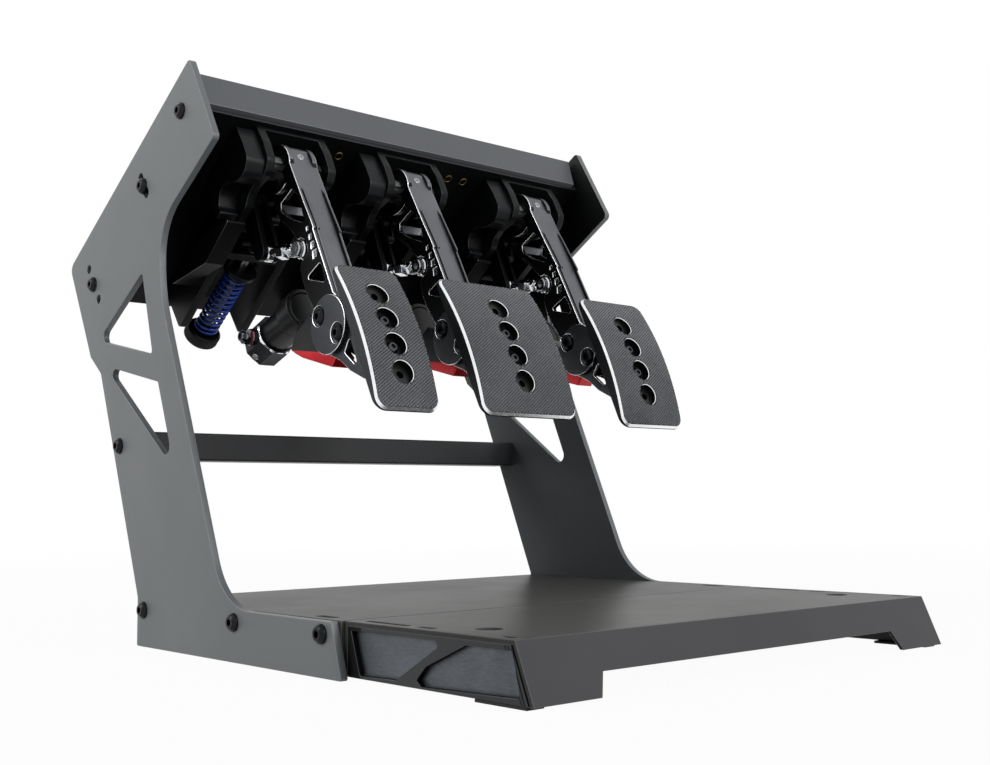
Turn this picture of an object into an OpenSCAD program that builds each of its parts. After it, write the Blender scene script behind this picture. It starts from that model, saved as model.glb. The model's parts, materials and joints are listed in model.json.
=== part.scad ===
// Inverted racing pedal set on a stand: two side plates, a tilted deck and
// three hanging pedals. Millimetres, z up from the floor, y to the rear,
// x to the driver's right. Outlines are drawn from the side as [y, z, r].

/* [Stand] */
// Width over the side plates
stand_w = 460; // [450:5:520]
// Height of the head's front top corner
stand_h = 488; // [470:1:520]
// Thickness of a side plate
plate_t = 6; // [5:0.5:8]
// Length of the head's sloping top edge
head_len = 274.7; // [270:0.5:290]
// Slope of the head's top edge in degrees
head_tilt = 31.4; // [30:0.1:33]
// Height of the foot of the side plates
foot_h = 40.5; // [38:0.5:46]
// Length of the foot, from its front end to its heel
foot_len = 303; // [295:1:320]
// Radius of the column's front curve at the floor
toe_r = 60; // [40:1:70]
// Radius of the column's front curve under the deck
throat_r = 135; // [100:1:140]

/* [Base] */
// Height of the base's top face
base_h = 39; // [36:0.5:44]
// Sheet thickness of the base trays
tray_t = 3; // [2:0.5:4]
// Length of the front tray's flat top
front_len = 171; // [150:1:200]
// How far the lip slants forward below the top
lip_run = 15.6; // [8:0.2:24]
// How much narrower the front tray is than the rear tray, on each side
front_inset = 2.6; // [1:0.1:5]
// Width of the lip's notch at its top
notch_w = 317; // [240:1:340]
// Height of the lip's notch
notch_h = 14.3; // [8:0.1:20]
// Thickness of an end cap
cap_t = 8; // [6:0.5:12]
// Depth of the pockets in an end cap
pocket_d = 4; // [2:0.5:5]
// Height of a rubber foot
rubber_h = 2; // [1:0.5:4]

/* [Deck and hood] */
// Slope of the deck in degrees
deck_tilt = 36.46; // [34:0.1:38]
// Length of the deck along its slope
deck_len = 231; // [225:1:240]
// Sheet thickness of the deck
deck_t = 3; // [2:0.5:4]
// Thickness of the deck's side flanges
deck_flange_t = 4; // [3:0.5:6]
// Height of the deck's flanges
deck_flange_h = 20; // [18:0.5:24]
// Sheet thickness of the hood
hood_t = 2.5; // [1.5:0.5:3]
// Length of the hood's top flange
hood_len = 60; // [40:1:80]
// Depth of the rear cross bar
bar_d = 28; // [20:1:32]
// Height of the rear cross bar's section
bar_h = 25.5; // [20:0.5:30]

/* [Pedals] */
// Place of the clutch's middle
clutch_x = -130; // [-136:1:-126]
// Place of the brake's middle
brake_x = -2; // [-8:1:8]
// Place of the throttle's middle
throttle_x = 153; // [146:1:160]
// Width of the clutch pad
clutch_pad_w = 61; // [50:1:75]
// Width of the brake pad
brake_pad_w = 106; // [80:1:120]
// Width of the throttle pad
throttle_pad_w = 81; // [60:1:95]
// Height of a pad
pad_h = 134; // [124:1:140]
// Thickness of a pad at its middle
pad_t = 12.5; // [12:0.5:15]
// Radius of a pad's convex face
pad_face_r = 260; // [240:5:400]
// Corner radius of a pad
pad_corner_r = 10; // [4:0.5:16]
// Distance between neighbouring holes in a pad
pad_hole_pitch = 24.3; // [21:0.1:27]
// Radius of the counterbores in a pad
pad_hole_r = 9.7; // [8:0.1:10.4]
// Lean of the clutch and brake pads in degrees
face_lean = 27; // [24:0.5:30]
// Lean of the throttle pad in degrees
throttle_face_lean = 24; // [21:0.5:30]
// Gap between a unit's cheeks
cheek_gap = 54; // [52:0.5:60]
// Thickness of a cheek
cheek_t = 8; // [6:0.5:10]
// Width of a sensor cover
cover_w = 17.9; // [14:0.1:20]
// Width of an arm over its flanges
arm_w = 28.5; // [27:0.5:31]
// Thickness of an arm's flange
flange_t = 5; // [4:0.5:6]
// Thickness of the arm's front web
web_t = 4; // [3:0.5:5]
// Radius of the arm's hub
hub_r = 22; // [19:0.5:23]
// Radius of the pivot axle
axle_r = 6; // [4:0.5:8]
// Thickness of the face bracket's sheet
bracket_t = 3.5; // [2.5:0.5:4]
// Radius of a clamp disc
disc_r = 24.5; // [24:0.5:27]
// Thickness of a clamp disc
disc_t = 4.5; // [4:0.5:6]

/* [Linkage and springs] */
// Thickness of a rod end
rod_end_t = 8; // [6:0.5:9]
// Radius of a rod end's eye
rod_end_r = 8; // [7:0.25:9]
// Radius of the rocker's hub
rocker_hub_r = 12; // [9:0.5:13]
// Radius of the push rod
push_r = 4.2; // [3:0.1:4.5]
// Radius of the rods that carry the springs
guide_r = 4.2; // [3:0.1:5]
// Outer radius of a spring
spring_r = 11.5; // [10:0.25:12.5]
// Thickness of the spring wire
wire_d = 3; // [2:0.1:3.4]
// Number of turns in a spring
spring_turns = 13; // [9:1:14]
// Radius of a preload knob
knob_r = 17; // [14:0.5:18]
// Length of a preload knob
knob_len = 13; // [9:0.5:16]
// Outer radius of the brake's master cylinder
cylinder_r = 15; // [12:0.5:17]
// Radius of a vibration motor
motor_r = 16; // [12:0.5:17]
// Width across the flats of the motor's collar
collar_w = 36; // [33:0.5:38]

/* [Hidden] */
$fn = 64;

// Clearances
run_gap = 0.06;
side_gap = 0.4;
open_pivot_gap = 0.5;
cut = 1;
strap_in = 0.1;

// Places of the stand. The drawing's zero lies behind the front end of the foot.
foot_front = -42;
heel = foot_front + foot_len;
head_y = 181.5;
half_w = stand_w / 2;
inner_w = half_w - plate_t;
seam_y = foot_front + 8.6;
front_y = seam_y - front_len;
lip_y = front_y - lip_run;
rear_y = head_y + head_len * cos(head_tilt);
origin_y = (lip_y - tray_t + rear_y) / 2;

// Fasteners
m8_r = 4;
m8_hole_r = 4.2;
m8_head_r = 7;
m8_head_h = 4.2;
m8_socket_r = 2.9;
m6_r = 3;
m6_hole_r = 3.3;

// The deck's frame: u runs to the rear along the slope, v away from the deck
deck_y = head_y - 0.5;
deck_z = stand_h - 42;
deck_front = -1;
screw_w = 8;
deck_screws = [11.1, 96.1, deck_len - 11.3];
slot_sweep = 6.7;

// Places in a unit, in the deck's frame
base_t = 4;
unit_front = 3.5;
unit_rear = 209;
pivot_u = 25.1;
pivot_v = 28.1;
rocker_u = 70;
rocker_v = 20;
roller_at = [3, 19];
roller_r = 5;
roller_w = 8.6;
push_v = 37.5;
yoke_u = 98.5;
yoke_t = 4;
leg_x = 12.8;
leg_r = 2.5;
seat_rim = 0.7;
wall_u = 112;
wall_t = 8;
seat_u = 136;
seat_t = 4;
knob_u = 219;
cheek_in = cheek_gap / 2;
cheek_out = cheek_in + cheek_t;
pin_r = 4;
plate2_out = roller_w / 2 + 0.3;
plate2_t = 3;
plate1_t = 5;

// Places on an arm, from the pivot as [y, z]
web_top = [-13, 16.5];
web_bend = [-54.5, -54.5];
web_end = [-88.5, -119.5];
link_front = [-40.5, -77.5];
clamp_at = [-92.5, -147.5];
clamp_screw = [13, 8];
motor_front = [-34.5, -122.5];
motor_tilt = 20.2;
half_arm = arm_w / 2;
flange_in = half_arm - flange_t;

// The link's rear end in the deck's frame
link_rear_u = 80.1;
link_rear_v = 76.4;
link_x = -(plate2_out + plate2_t + side_gap + rod_end_t);

// The pad's middle from the clamp, along the pad and ahead of the clamp
pad_drop = -33.9;
pad_ahead = 34.2;
bracket_in = half_arm;
bracket_out = bracket_in + bracket_t;
pad_screw_h = 3.4;

// Small functions for outlines
function unit(v) = v / norm(v);
function left_of(v) = [-v[1], v[0]];
function wrap(list, i) = list[(i + len(list)) % len(list)];
function xy(p) = [p[0], p[1]];

// One rounded corner at p, between the corners a and b
function corner(a, p, b, r) =
  let (
    ua = unit(xy(a) - xy(p)),
    ub = unit(xy(b) - xy(p)),
    half = acos(ua * ub) / 2,
    t = min(r / tan(half), 0.48 * min(norm(xy(a) - xy(p)), norm(xy(b) - xy(p)))),
    rr = t * tan(half),
    c = xy(p) + unit(ua + ub) * rr / sin(half),
    s = xy(p) + ua * t - c,
    turn = (left_of(ua) * ub < 0 ? 1 : -1) * (180 - 2 * half),
    n = max(2, ceil(abs(turn) / (rr > 20 ? 4 : 12)))
  )
  r < 0.05 ? [xy(p)] :
  [for (k = [0:n]) let (w = turn * k / n)
    c + [s[0] * cos(w) - s[1] * sin(w), s[0] * sin(w) + s[1] * cos(w)]];

// A closed outline whose corners [y, z, r] are rounded
function rounded(pts) =
  [for (i = [0:len(pts) - 1]) each corner(wrap(pts, i - 1), pts[i], wrap(pts, i + 1), pts[i][2])];

// The left side of an open line, a distance d away
function beside(pts, d) =
  [for (i = [0:len(pts) - 1])
    let (
      n0 = left_of(unit(xy(pts[max(i, 1)]) - xy(pts[max(i, 1) - 1]))),
      j = min(i, len(pts) - 2),
      n1 = left_of(unit(xy(pts[j + 1]) - xy(pts[j])))
    )
    xy(pts[i]) + (n0 + n1) / (1 + n0 * n1) * d];

// A bent sheet of thickness t to the left of an open line
function sheet(pts, t) =
  let (in = beside(pts, t))
  concat([for (p = pts) xy(p)], [for (i = [len(in) - 1:-1:0]) in[i]]);

// Which way a closed outline turns: 1 is anticlockwise
function turns(pts) =
  sign([for (p = pts) 1] * [for (i = [0:len(pts) - 1])
    cross(xy(pts[i]), xy(wrap(pts, i + 1)))]);

// A closed outline drawn in by d
function drawn_in(pts, d) =
  [for (i = [0:len(pts) - 1])
    let (
      p = xy(pts[i]),
      n0 = left_of(unit(p - xy(wrap(pts, i - 1)))),
      n1 = left_of(unit(xy(wrap(pts, i + 1)) - p)),
      q = p + (n0 + n1) / (1 + n0 * n1) * d * turns(pts)
    )
    [q[0], q[1], max(0, pts[i][2] - d)]];

// The four tangent points of a strap between the circles at p and q
function strap_sides(p, q, rp, rq) =
  let (
    d = norm(q - p),
    a = atan2(q[1] - p[1], q[0] - p[0]),
    b = acos((rp - rq) / d)
  )
  [for (e = [[p, rp, b], [q, rq, b], [q, rq, -b], [p, rp, -b]])
    e[0] + e[1] * [cos(a + e[2]), sin(a + e[2])]];

// A point of the head from the head's front top corner
function head(dy, dz, r = 0) = [head_y + dy, stand_h + dz, r];
function from_deck(u, v) =
  [deck_y + u * cos(deck_tilt) - v * sin(deck_tilt), deck_z - u * sin(deck_tilt) - v * cos(deck_tilt)];
function to_down(pts) = [for (p = pts) [p[0], -p[1], p[2]]];

pivot_at = from_deck(pivot_u, pivot_v);
rocker_at = from_deck(rocker_u, rocker_v);
link_rear = from_deck(link_rear_u, link_rear_v);

// Small modules for solids drawn from the side
module side(x0, w) {
  translate([x0, 0, 0]) rotate([90, 0, 90]) linear_extrude(w) children();
}
module rod_x(x0, x1, at, r) {
  translate([x0, at[0], at[1]]) rotate([0, 90, 0]) cylinder(r = r, h = x1 - x0);
}
module deck_frame() {
  translate([0, deck_y, deck_z]) rotate([-deck_tilt, 0, 0]) children();
}
module rod_u(u0, u1, v, x, r) {
  translate([x, u0, -v]) rotate([-90, 0, 0]) cylinder(r = r, h = u1 - u0);
}
module arm_frame(x) {
  translate([x, pivot_at[0], pivot_at[1]]) children();
}
module clamp_frame(x, lean) {
  arm_frame(x) translate([0, clamp_at[0], clamp_at[1]]) rotate([-lean, 0, 0]) children();
}
module motor_frame(x) {
  arm_frame(x) translate([0, motor_front[0], motor_front[1]]) rotate([-motor_tilt, 0, 0]) children();
}
// The origin lies on the floor under the middle of the stand
module in_place() {
  translate([0, -origin_y, 0]) children();
}
// The straight sides cross the circles just inside their rims
module strap(p, q, rp, rq) {
  translate(p) circle(rp);
  translate(q) circle(rq);
  polygon(strap_sides(p, q, rp - strap_in, rq - strap_in));
}

// A button head screw along +x; its head's seat lies at x = 0
module button_screw(shank) {
  difference() {
    union() {
      rotate([0, 90, 0]) cylinder(r = m8_head_r, h = m8_head_h * 0.45);
      translate([m8_head_h * 0.45, 0, 0]) rotate([0, 90, 0])
        cylinder(r1 = m8_head_r, r2 = m8_head_r * 0.62, h = m8_head_h * 0.55);
      translate([-shank, 0, 0]) rotate([0, 90, 0]) cylinder(r = m8_r, h = shank + cut);
    }
    translate([m8_head_h * 0.4, 0, 0]) rotate([0, 90, 0]) cylinder(r = m8_socket_r, h = m8_head_h, $fn = 6);
  }
}

// Screw places, from the side
bar_at = [head_y + 119.6, stand_h - 318.1];
foot_screws = [[249.4, 30.4], [100, 29.8], [-17.8, 29.7]];
function deck_screw_at(i) = from_deck(deck_screws[i], -screw_w);
spare_holes = [head(191.5, -150.5), head(169.3, -181.2)];

plate_outline = [
  [foot_front, 0, 1.5],
  [heel, 0, 2],
  [heel, foot_h, 8],
  head(161.5, -251, 6),
  head(184, -234, 2),
  head(head_len * cos(head_tilt), -head_len * sin(head_tilt), 9),
  head(0, 0, 4),
  head(-43.5, -76, 5),
  head(47.5, -131, 51),
  head(47.5, -188.4, throat_r),
  [116.5, base_h, toe_r],
  [foot_front + 12.5, base_h - 0.5, 1.5]
];
upper_window = [head(81.2, -169, 3), head(59.2, -242.9, 3), head(167.5, -219.9, 6)];
lower_window = [head(153.8, -244.2, 5), head(48.4, -266.9, 3), head(16.9, -341.6, 7)];

module side_plate() {
  side(0, plate_t) difference() {
    polygon(rounded(plate_outline));
    polygon(rounded(upper_window));
    polygon(rounded(lower_window));
    for (i = [0:2]) translate(deck_screw_at(i)) circle(m8_hole_r);
    for (p = spare_holes) translate(xy(p)) circle(m8_hole_r);
    for (p = foot_screws) translate(p) circle(m8_hole_r);
    translate(bar_at) circle(m8_hole_r);
    tilt_slot();
  }
}

// The arc slot round the front deck screw, for the deck's second screw
module tilt_slot() {
  c = deck_screw_at(0);
  r = deck_screws[1] - deck_screws[0];
  n = 12;
  arc = [for (k = [0:n]) -deck_tilt - slot_sweep + 2 * slot_sweep * k / n];
  polygon(concat(
    [for (a = arc) c + (r + m8_hole_r) * [cos(a), sin(a)]],
    [for (k = [n:-1:0]) c + (r - m8_hole_r) * [cos(arc[k]), sin(arc[k])]]
  ));
  for (a = [arc[0], arc[n]]) translate(c + r * [cos(a), sin(a)]) circle(m8_hole_r);
}

module left_side_plate() {
  color("#5d6163") translate([-half_w, 0, 0]) side_plate();
}
module right_side_plate() {
  color("#4b4d4f") translate([inner_w, 0, 0]) side_plate();
}

// Long slots near both sides of a tray's top, as [y0, y1]
rear_slots = [[-10, 12]];
front_slots = [[-94, -46], [-120, -103], [-197, -183]];
slot_w = 6;
slot_inset = 12;
module tray_slots(slots, z) {
  for (sx = [-1, 1], s = slots) translate([sx * (inner_w - slot_inset), 0, z - tray_t - cut])
    linear_extrude(tray_t + 2 * cut) {
      translate([-slot_w / 2, s[0] + slot_w / 2]) square([slot_w, s[1] - s[0] - slot_w]);
      for (y = [s[0] + slot_w / 2, s[1] - slot_w / 2]) translate([0, y]) circle(slot_w / 2);
    }
}

module rear_base_tray() {
  len_y = heel - seam_y;
  color("#4a4a48") difference() {
    translate([-inner_w, seam_y, rubber_h]) cube([2 * inner_w, len_y, base_h - rubber_h]);
    translate([-inner_w + tray_t, seam_y + tray_t, rubber_h - cut])
      cube([2 * (inner_w - tray_t), len_y - 2 * tray_t, base_h - rubber_h - tray_t + cut]);
    tray_slots(rear_slots, base_h);
    for (p = foot_screws) rod_x(-inner_w - cut, inner_w + cut, p, m8_hole_r);
  }
}

// Round openings in the front tray's top, inboard of its slots
round_inset = 34.4;
round_y = -146;
round_r = 9;

tray_half = inner_w - front_inset;
lip_line = [[seam_y - 0.4, base_h], [front_y, base_h], [lip_y, rubber_h]];
module front_base_tray() {
  notch_top = rubber_h + notch_h;
  flare = 8;
  color("#4a4a48") difference() {
    union() {
      side(-tray_half, 2 * tray_half) polygon(sheet(lip_line, tray_t));
      translate([-tray_half, seam_y - 0.4 - tray_t, rubber_h])
        cube([2 * tray_half, tray_t, base_h - rubber_h]);
    }
    translate([0, lip_y - cut, 0]) rotate([90, 0, 0]) mirror([0, 0, 1])
      linear_extrude(lip_run + tray_t + 4 * cut)
        polygon([
          [-notch_w / 2 - flare, 0], [notch_w / 2 + flare, 0],
          [notch_w / 2, notch_top], [-notch_w / 2, notch_top]
        ]);
    tray_slots(front_slots, base_h);
    for (sx = [-1, 1]) translate([sx * (inner_w - round_inset), round_y, base_h - tray_t - cut])
      cylinder(h = tray_t + 2 * cut, r = round_r);
    translate([-inner_w, lip_y - cut, 0]) cube([2 * inner_w, lip_run, rubber_h]);
  }
}

// End cap: a block under the tray's edge with two recessed pockets
pocket_a = [[foot_front + 1, base_h - 6, 1], [-51, 4, 2], [-90, 5, 1], [-133, 29, 1], [-131, base_h - 6, 1]];
pocket_b = [
  [-160, base_h - 6.5, 1], [-202, base_h - 6.5, 1], [-208, 6, 2],
  [-117, 3.5, 1], [-112, 7, 1], [-121, 16, 1]
];
module base_cap(s) {
  cap_top = base_h - tray_t;
  slant = lip_run / (base_h - rubber_h);
  x_in = tray_half - cap_t;
  color("#3b3b3b") mirror([s < 0 ? 1 : 0, 0, 0]) difference() {
    side(x_in, cap_t) polygon([
      [seam_y - 1 - tray_t, rubber_h], [seam_y - 1 - tray_t, cap_top],
      [front_y + 5 - tray_t * slant, cap_top], [lip_y + 5, rubber_h]
    ]);
    side(x_in + cap_t - pocket_d, pocket_d + cut) {
      polygon(rounded(pocket_a));
      polygon(rounded(pocket_b));
    }
  }
}
module left_base_cap() {
  base_cap(-1);
}
module right_base_cap() {
  base_cap(1);
}

module rubber_feet() {
  pad_len = 46;
  pad_w = 14;
  color("#202020") for (s = [-1, 1]) {
    translate([s * (tray_half - pad_w / 2) - pad_w / 2, lip_y + 6, 0]) cube([pad_w, pad_len, rubber_h]);
    translate([s * (inner_w - pad_len / 2) - pad_len / 2, heel - pad_w, 0])
      cube([pad_len, pad_w, rubber_h]);
  }
}

// Folded cross bar, open to the rear, with a tab at each end
tab_t = 3;
module rear_bar() {
  front = bar_at[0] - bar_d / 2;
  top = bar_at[1] + bar_h / 2;
  color("#303134") difference() {
    union() {
      side(-inner_w, 2 * inner_w) polygon(sheet([
        [front + bar_d, top - bar_h], [front, top - bar_h], [front, top], [front + bar_d, top]
      ], -hood_t));
      for (s = [-1, 1]) translate([s * (inner_w - tab_t / 2) - tab_t / 2, front, top - bar_h])
        cube([tab_t, bar_d, bar_h]);
    }
    rod_x(-inner_w - cut, inner_w + cut, bar_at, m8_hole_r);
  }
}

module deck() {
  color("#232427") deck_frame() difference() {
    translate([-inner_w, deck_front, 0]) cube([2 * inner_w, deck_len, deck_flange_h]);
    translate([-inner_w + deck_flange_t, deck_front - cut, deck_t])
      cube([2 * (inner_w - deck_flange_t), deck_len - deck_t + cut, deck_flange_h]);
    for (u = deck_screws) translate([-inner_w - cut, u, screw_w]) rotate([0, 90, 0])
      cylinder(r = m8_hole_r, h = 2 * inner_w + 2 * cut);
  }
}

// Hood over the pedal heads: bottom flange on the deck, front face, top flange
hood_gap = 0.4;
hood_foot_u = 21;
hood_toe_u = -4.2;
hood_nose_u = -13.5;
hood_rise = 31.8;
hood_foot = from_deck(hood_foot_u, -(deck_t + hood_t));
hood_toe = from_deck(hood_toe_u, -(deck_t + hood_t));
hood_nose = from_deck(hood_nose_u, -hood_rise);
module hood() {
  tail = hood_nose + hood_len * [cos(head_tilt), -sin(head_tilt)];
  width = 2 * (inner_w - deck_flange_t - hood_gap);
  color("#6b6d70") side(-width / 2, width) polygon(sheet([hood_foot, hood_toe, hood_nose, tail], -hood_t));
}

module stand_screws() {
  deck_shank = plate_t + deck_flange_t;
  foot_shank = plate_t + tray_t;
  color("#2a2b2d") for (s = [0, 1]) mirror([s, 0, 0]) {
    for (i = [0:2]) translate([half_w, deck_screw_at(i)[0], deck_screw_at(i)[1]]) button_screw(deck_shank);
    for (p = foot_screws) translate([half_w, p[0], p[1]]) button_screw(foot_shank);
    translate([half_w, bar_at[0], bar_at[1]]) button_screw(foot_shank);
  }
}

// A unit's cheek, drawn down from the deck as [u, v]
cheek_outline = [
  [unit_front, 0, 0.5], [unit_front, 20, 20], [7, 39, 8], [18, 46, 10], [38, 40.4, 14], [48, 40.4, 10],
  [57, 46, 8], [120, 47, 2], [unit_rear, 50, 4], [unit_rear, 0, 0.5]
];
module unit_base(x, bores, bore_r) {
  color("#1d1e21") translate([x, 0, 0]) deck_frame() difference() {
    union() {
      for (x0 = [-cheek_out, cheek_in]) side(x0, cheek_t) polygon(rounded(to_down(cheek_outline)));
      translate([-cheek_in, unit_front, -base_t]) cube([cheek_gap, unit_rear - unit_front, base_t]);
      translate([-cheek_in, wall_u, -46]) cube([cheek_gap, wall_t, 46]);
    }
    rod_x(-cheek_out - cut, cheek_out + cut, [pivot_u, -pivot_v], axle_r + run_gap);
    rod_x(-cheek_out - cut, cheek_out + cut, [rocker_u, -rocker_v], pin_r + run_gap);
    for (bx = bores) rod_u(wall_u - cut, wall_u + wall_t + cut, push_v, bx, bore_r + run_gap);
    if (len(bores) == 2) rod_u(wall_u - cut, wall_u + wall_t + cut, push_v, 0, guide_r);
  }
}

// Cover over the arm's angle sensor, a shell open towards the cheek
cover_outline = [
  [7.6, 1.8, 1], [8.6, 22, 30], [11, 39, 9], [24, 46, 10], [38, 40, 10], [47, 30, 12], [60, 26, 12],
  [69.5, 37, 6], [69.5, 44, 2], [78, 44, 2], [78, 0.5, 1]
];
cover_wall = 2.5;
module unit_cover(x) {
  x0 = x - cheek_out - cover_w;
  color("#26282b") deck_frame() difference() {
    side(x0, cover_w) polygon(rounded(to_down(cover_outline)));
    side(x0 + cover_wall, cover_w) polygon(rounded(drawn_in(to_down(cover_outline), cover_wall)));
  }
}

// Sensor box on the outer side of the left cheek
box_outline = [[59.8, 59, 2], [114.6, 60.8, 2], [173.4, 31, 2], [136.3, 21.2, 2]];
module unit_box(x) {
  color("#1f2023") deck_frame() side(x - cheek_out - cover_w, cover_w) polygon(rounded(to_down(box_outline)));
}

// Pivot axle, rocker pin and, where a spring is used, its guide rod
head_t = 3;
module unit_axles(x, guide) {
  color("#b9bcc0") translate([x, 0, 0]) deck_frame() {
    rod_x(-cheek_out, cheek_out, [pivot_u, -pivot_v], axle_r);
    rod_x(cheek_out, cheek_out + head_t, [pivot_u, -pivot_v], axle_r + 3);
    rod_x(-cheek_out, cheek_out, [rocker_u, -rocker_v], pin_r);
    rod_x(cheek_out, cheek_out + head_t, [rocker_u, -rocker_v], pin_r + 3);
    if (guide) rod_u(wall_u, knob_u + knob_len + 2, push_v, 0, guide_r);
  }
}

// Arm. Outlines run from the pivot as [y, z, r].
lobe = [
  [-38, -27, 2], [-27.5, -17.5, 3], [-12, -25, 4], [-3, -31, 5], [-0.5, -39, 5], [-6.5, -44.5, 4],
  [-20.5, -53.5, 12], [-35.5, -68.5, 4], [-60, -62, 0]
];
lobe_window = [[-37, -31, 2], [-26, -22.5, 2], [-8, -32.5, 3], [-7, -38, 2], [-24, -48, 3], [-45.5, -55.5, 2]];
lower_flange = [
  [-54.5, -54.5, 0], [-88.5, -119.5, 0], [-93, -128, 0], [-62, -133, 3], [-49.5, -116.5, 20],
  [-43, -104, 12], [-39.5, -93.5, 4], [-41.5, -86, 2], [-41.5, -69, 2], [-38, -62, 2]
];
arm_window = [[-69.5, -92.5, 2], [-79, -110.5, 2], [-48.5, -103.5, 2]];
notch_r = rod_end_r + 1.5;

module arm_flange(grow) {
  difference() {
    union() {
      circle(hub_r);
      polygon(sheet([web_top, web_bend, web_end], 13 + grow));
      polygon(rounded(drawn_in(lobe, -grow)));
      polygon(rounded(drawn_in(lower_flange, -grow)));
      translate(clamp_at) circle(disc_r - 1.5);
      polygon(sheet([web_end, clamp_at + [-21, 10]], 24));
    }
    polygon(rounded(lobe_window));
    polygon(rounded(arm_window));
    circle(axle_r + run_gap);
  }
}

// Four shallow marks on the outer face, growing downwards
marks = [[-50, -61, 4], [-54.5, -68.5, 5], [-58, -76, 6.3], [-61.3, -84, 7.6]];
mark_depth = 0.6;
module arm_marks() {
  for (m = marks) translate([m[0], m[1]]) polygon([
    [-0.34 * m[2], 0.5 * m[2]], [0.4 * m[2], 0.3 * m[2]],
    [0.3 * m[2], -0.55 * m[2]], [-0.4 * m[2], -0.3 * m[2]]
  ]);
}

module arm(x) {
  bush_x = cheek_in - side_gap;
  boss_x = link_x + rod_end_t + 0.3;
  layer_t = flange_t / 2;
  color("#8f9294") arm_frame(x) difference() {
    union() {
      for (s = [-1, 1]) {
        side(s < 0 ? -flange_in - layer_t : flange_in, layer_t) arm_flange(2.5);
        side(s < 0 ? -half_arm : flange_in + layer_t, layer_t) arm_flange(0);
      }
      rod_x(flange_in, half_arm, link_front, rod_end_r);
      side(-half_arm, arm_w) polygon(sheet([[-3, 21], [-9.5, 18.5], web_top, web_bend, web_end], web_t));
      rod_x(-bush_x, bush_x, [0, 0], axle_r + 5);
      side(-half_arm, arm_w) polygon([[-9, -40.5], [-1.5, -38], [-4.5, -31.5], [-9, -32.5]]);
      side(-half_arm, arm_w) polygon([[-81, -115], [-80, -111.5], [-47, -104.5], [-46, -108]]);
    }
    rod_x(-bush_x - cut, bush_x + cut, [0, 0], axle_r + run_gap);
    rod_x(-half_arm - cut, flange_in, link_front, notch_r);
    rod_x(flange_in - cut, half_arm + cut, link_front, pin_r);
    for (s = [-1, 1]) rod_x(-half_arm - cut, half_arm + cut, clamp_at + s * clamp_screw, m8_r);
    side(-half_arm - cut, mark_depth + cut) arm_marks();
    side(half_arm - mark_depth, mark_depth + cut) arm_marks();
  }
  color("#8f9294") arm_frame(x) difference() {
    rod_x(boss_x, flange_in, link_front, rod_end_r - 1);
    rod_x(boss_x - cut, flange_in + cut, link_front, pin_r);
  }
}

// Face bracket in the clamp's frame: y runs to the rear, z up along the pad
plate_back = -pad_ahead;
plate_front_edge = plate_back + bracket_t;
bracket_low = pad_drop - 41.3;
bracket_high = pad_drop + 40;
bracket_outline = [
  [plate_back, bracket_low, 0], [-17.9, -61.9, 4], [-4.6, -46.1, 10], [2.9, -32.2, 10], [15, -19, 0],
  [12, 20, 0], [-8, 22.8, 6], [-22, 13, 8], [plate_back, bracket_high, 0]
];
bracket_window = [[-16.5, -22, 2], [-15.5, -51, 2], [-4.8, -29.5, 2]];
module bracket(x, lean) {
  slot_r = m8_r + 0.6;
  color("#6f7275") clamp_frame(x, lean) difference() {
    union() {
      for (x0 = [-bracket_out, bracket_in]) side(x0, bracket_t) difference() {
        union() {
          polygon(rounded(bracket_outline));
          circle(disc_r);
        }
        polygon(rounded(bracket_window));
      }
      translate([-bracket_out, plate_back, bracket_low])
        cube([2 * bracket_out, bracket_t, bracket_high - bracket_low]);
    }
    for (s = [-1, 1]) rotate([lean, 0, 0])
      rod_x(-bracket_out - cut, bracket_out + cut, s * clamp_screw, slot_r);
    for (k = [-1, 1]) pad_hole_at(k / 2) rotate([90, 0, 0]) cylinder(r = m6_r, h = 4 * bracket_t, center = true);
  }
}

// Carries a shape to the k-th hole on the pad's middle line
module pad_hole_at(k) {
  translate([0, plate_back, pad_drop + k * pad_hole_pitch]) children();
}

module discs(x) {
  color("#55585b") arm_frame(x) for (s = [0, 1]) mirror([s, 0, 0]) difference() {
    rod_x(bracket_out, bracket_out + disc_t, clamp_at, disc_r);
    for (k = [-1, 1]) {
      rod_x(bracket_out - cut, bracket_out + disc_t + cut, clamp_at + k * clamp_screw, m8_hole_r);
      rod_x(bracket_out + disc_t / 2, bracket_out + disc_t + cut, clamp_at + k * clamp_screw, m8_head_r + 1.5);
    }
  }
}

// Disc screws, pad screws and the link's bolt
module unit_screws(x, lean) {
  bolt_head = 4;
  color("#c3c6c9") {
    arm_frame(x) for (s = [0, 1]) mirror([s, 0, 0]) for (k = [-1, 1])
      translate([bracket_out + disc_t / 2, clamp_at[0] + k * clamp_screw[0], clamp_at[1] + k * clamp_screw[1]])
        button_screw(disc_t / 2 + bracket_t + flange_t);
    arm_frame(x) {
      rod_x(link_x - 0.3, half_arm + 1, link_front, pin_r);
      rod_x(link_x - 0.3 - bolt_head, link_x - 0.3, link_front, rod_end_r - 1.4);
    }
    clamp_frame(x, lean) for (k = [-1, 1]) pad_hole_at(k / 2) rotate([90, 0, 0]) difference() {
      union() {
        translate([0, 0, -bracket_t]) cylinder(r = m6_r, h = bracket_t + pad_floor + cut);
        translate([0, 0, pad_floor]) cylinder(r = m6_r + 2.3, h = pad_screw_h);
      }
      translate([0, 0, pad_floor + pad_screw_h / 2]) cylinder(r = 2.3, h = pad_screw_h, $fn = 6);
    }
  }
}

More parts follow.
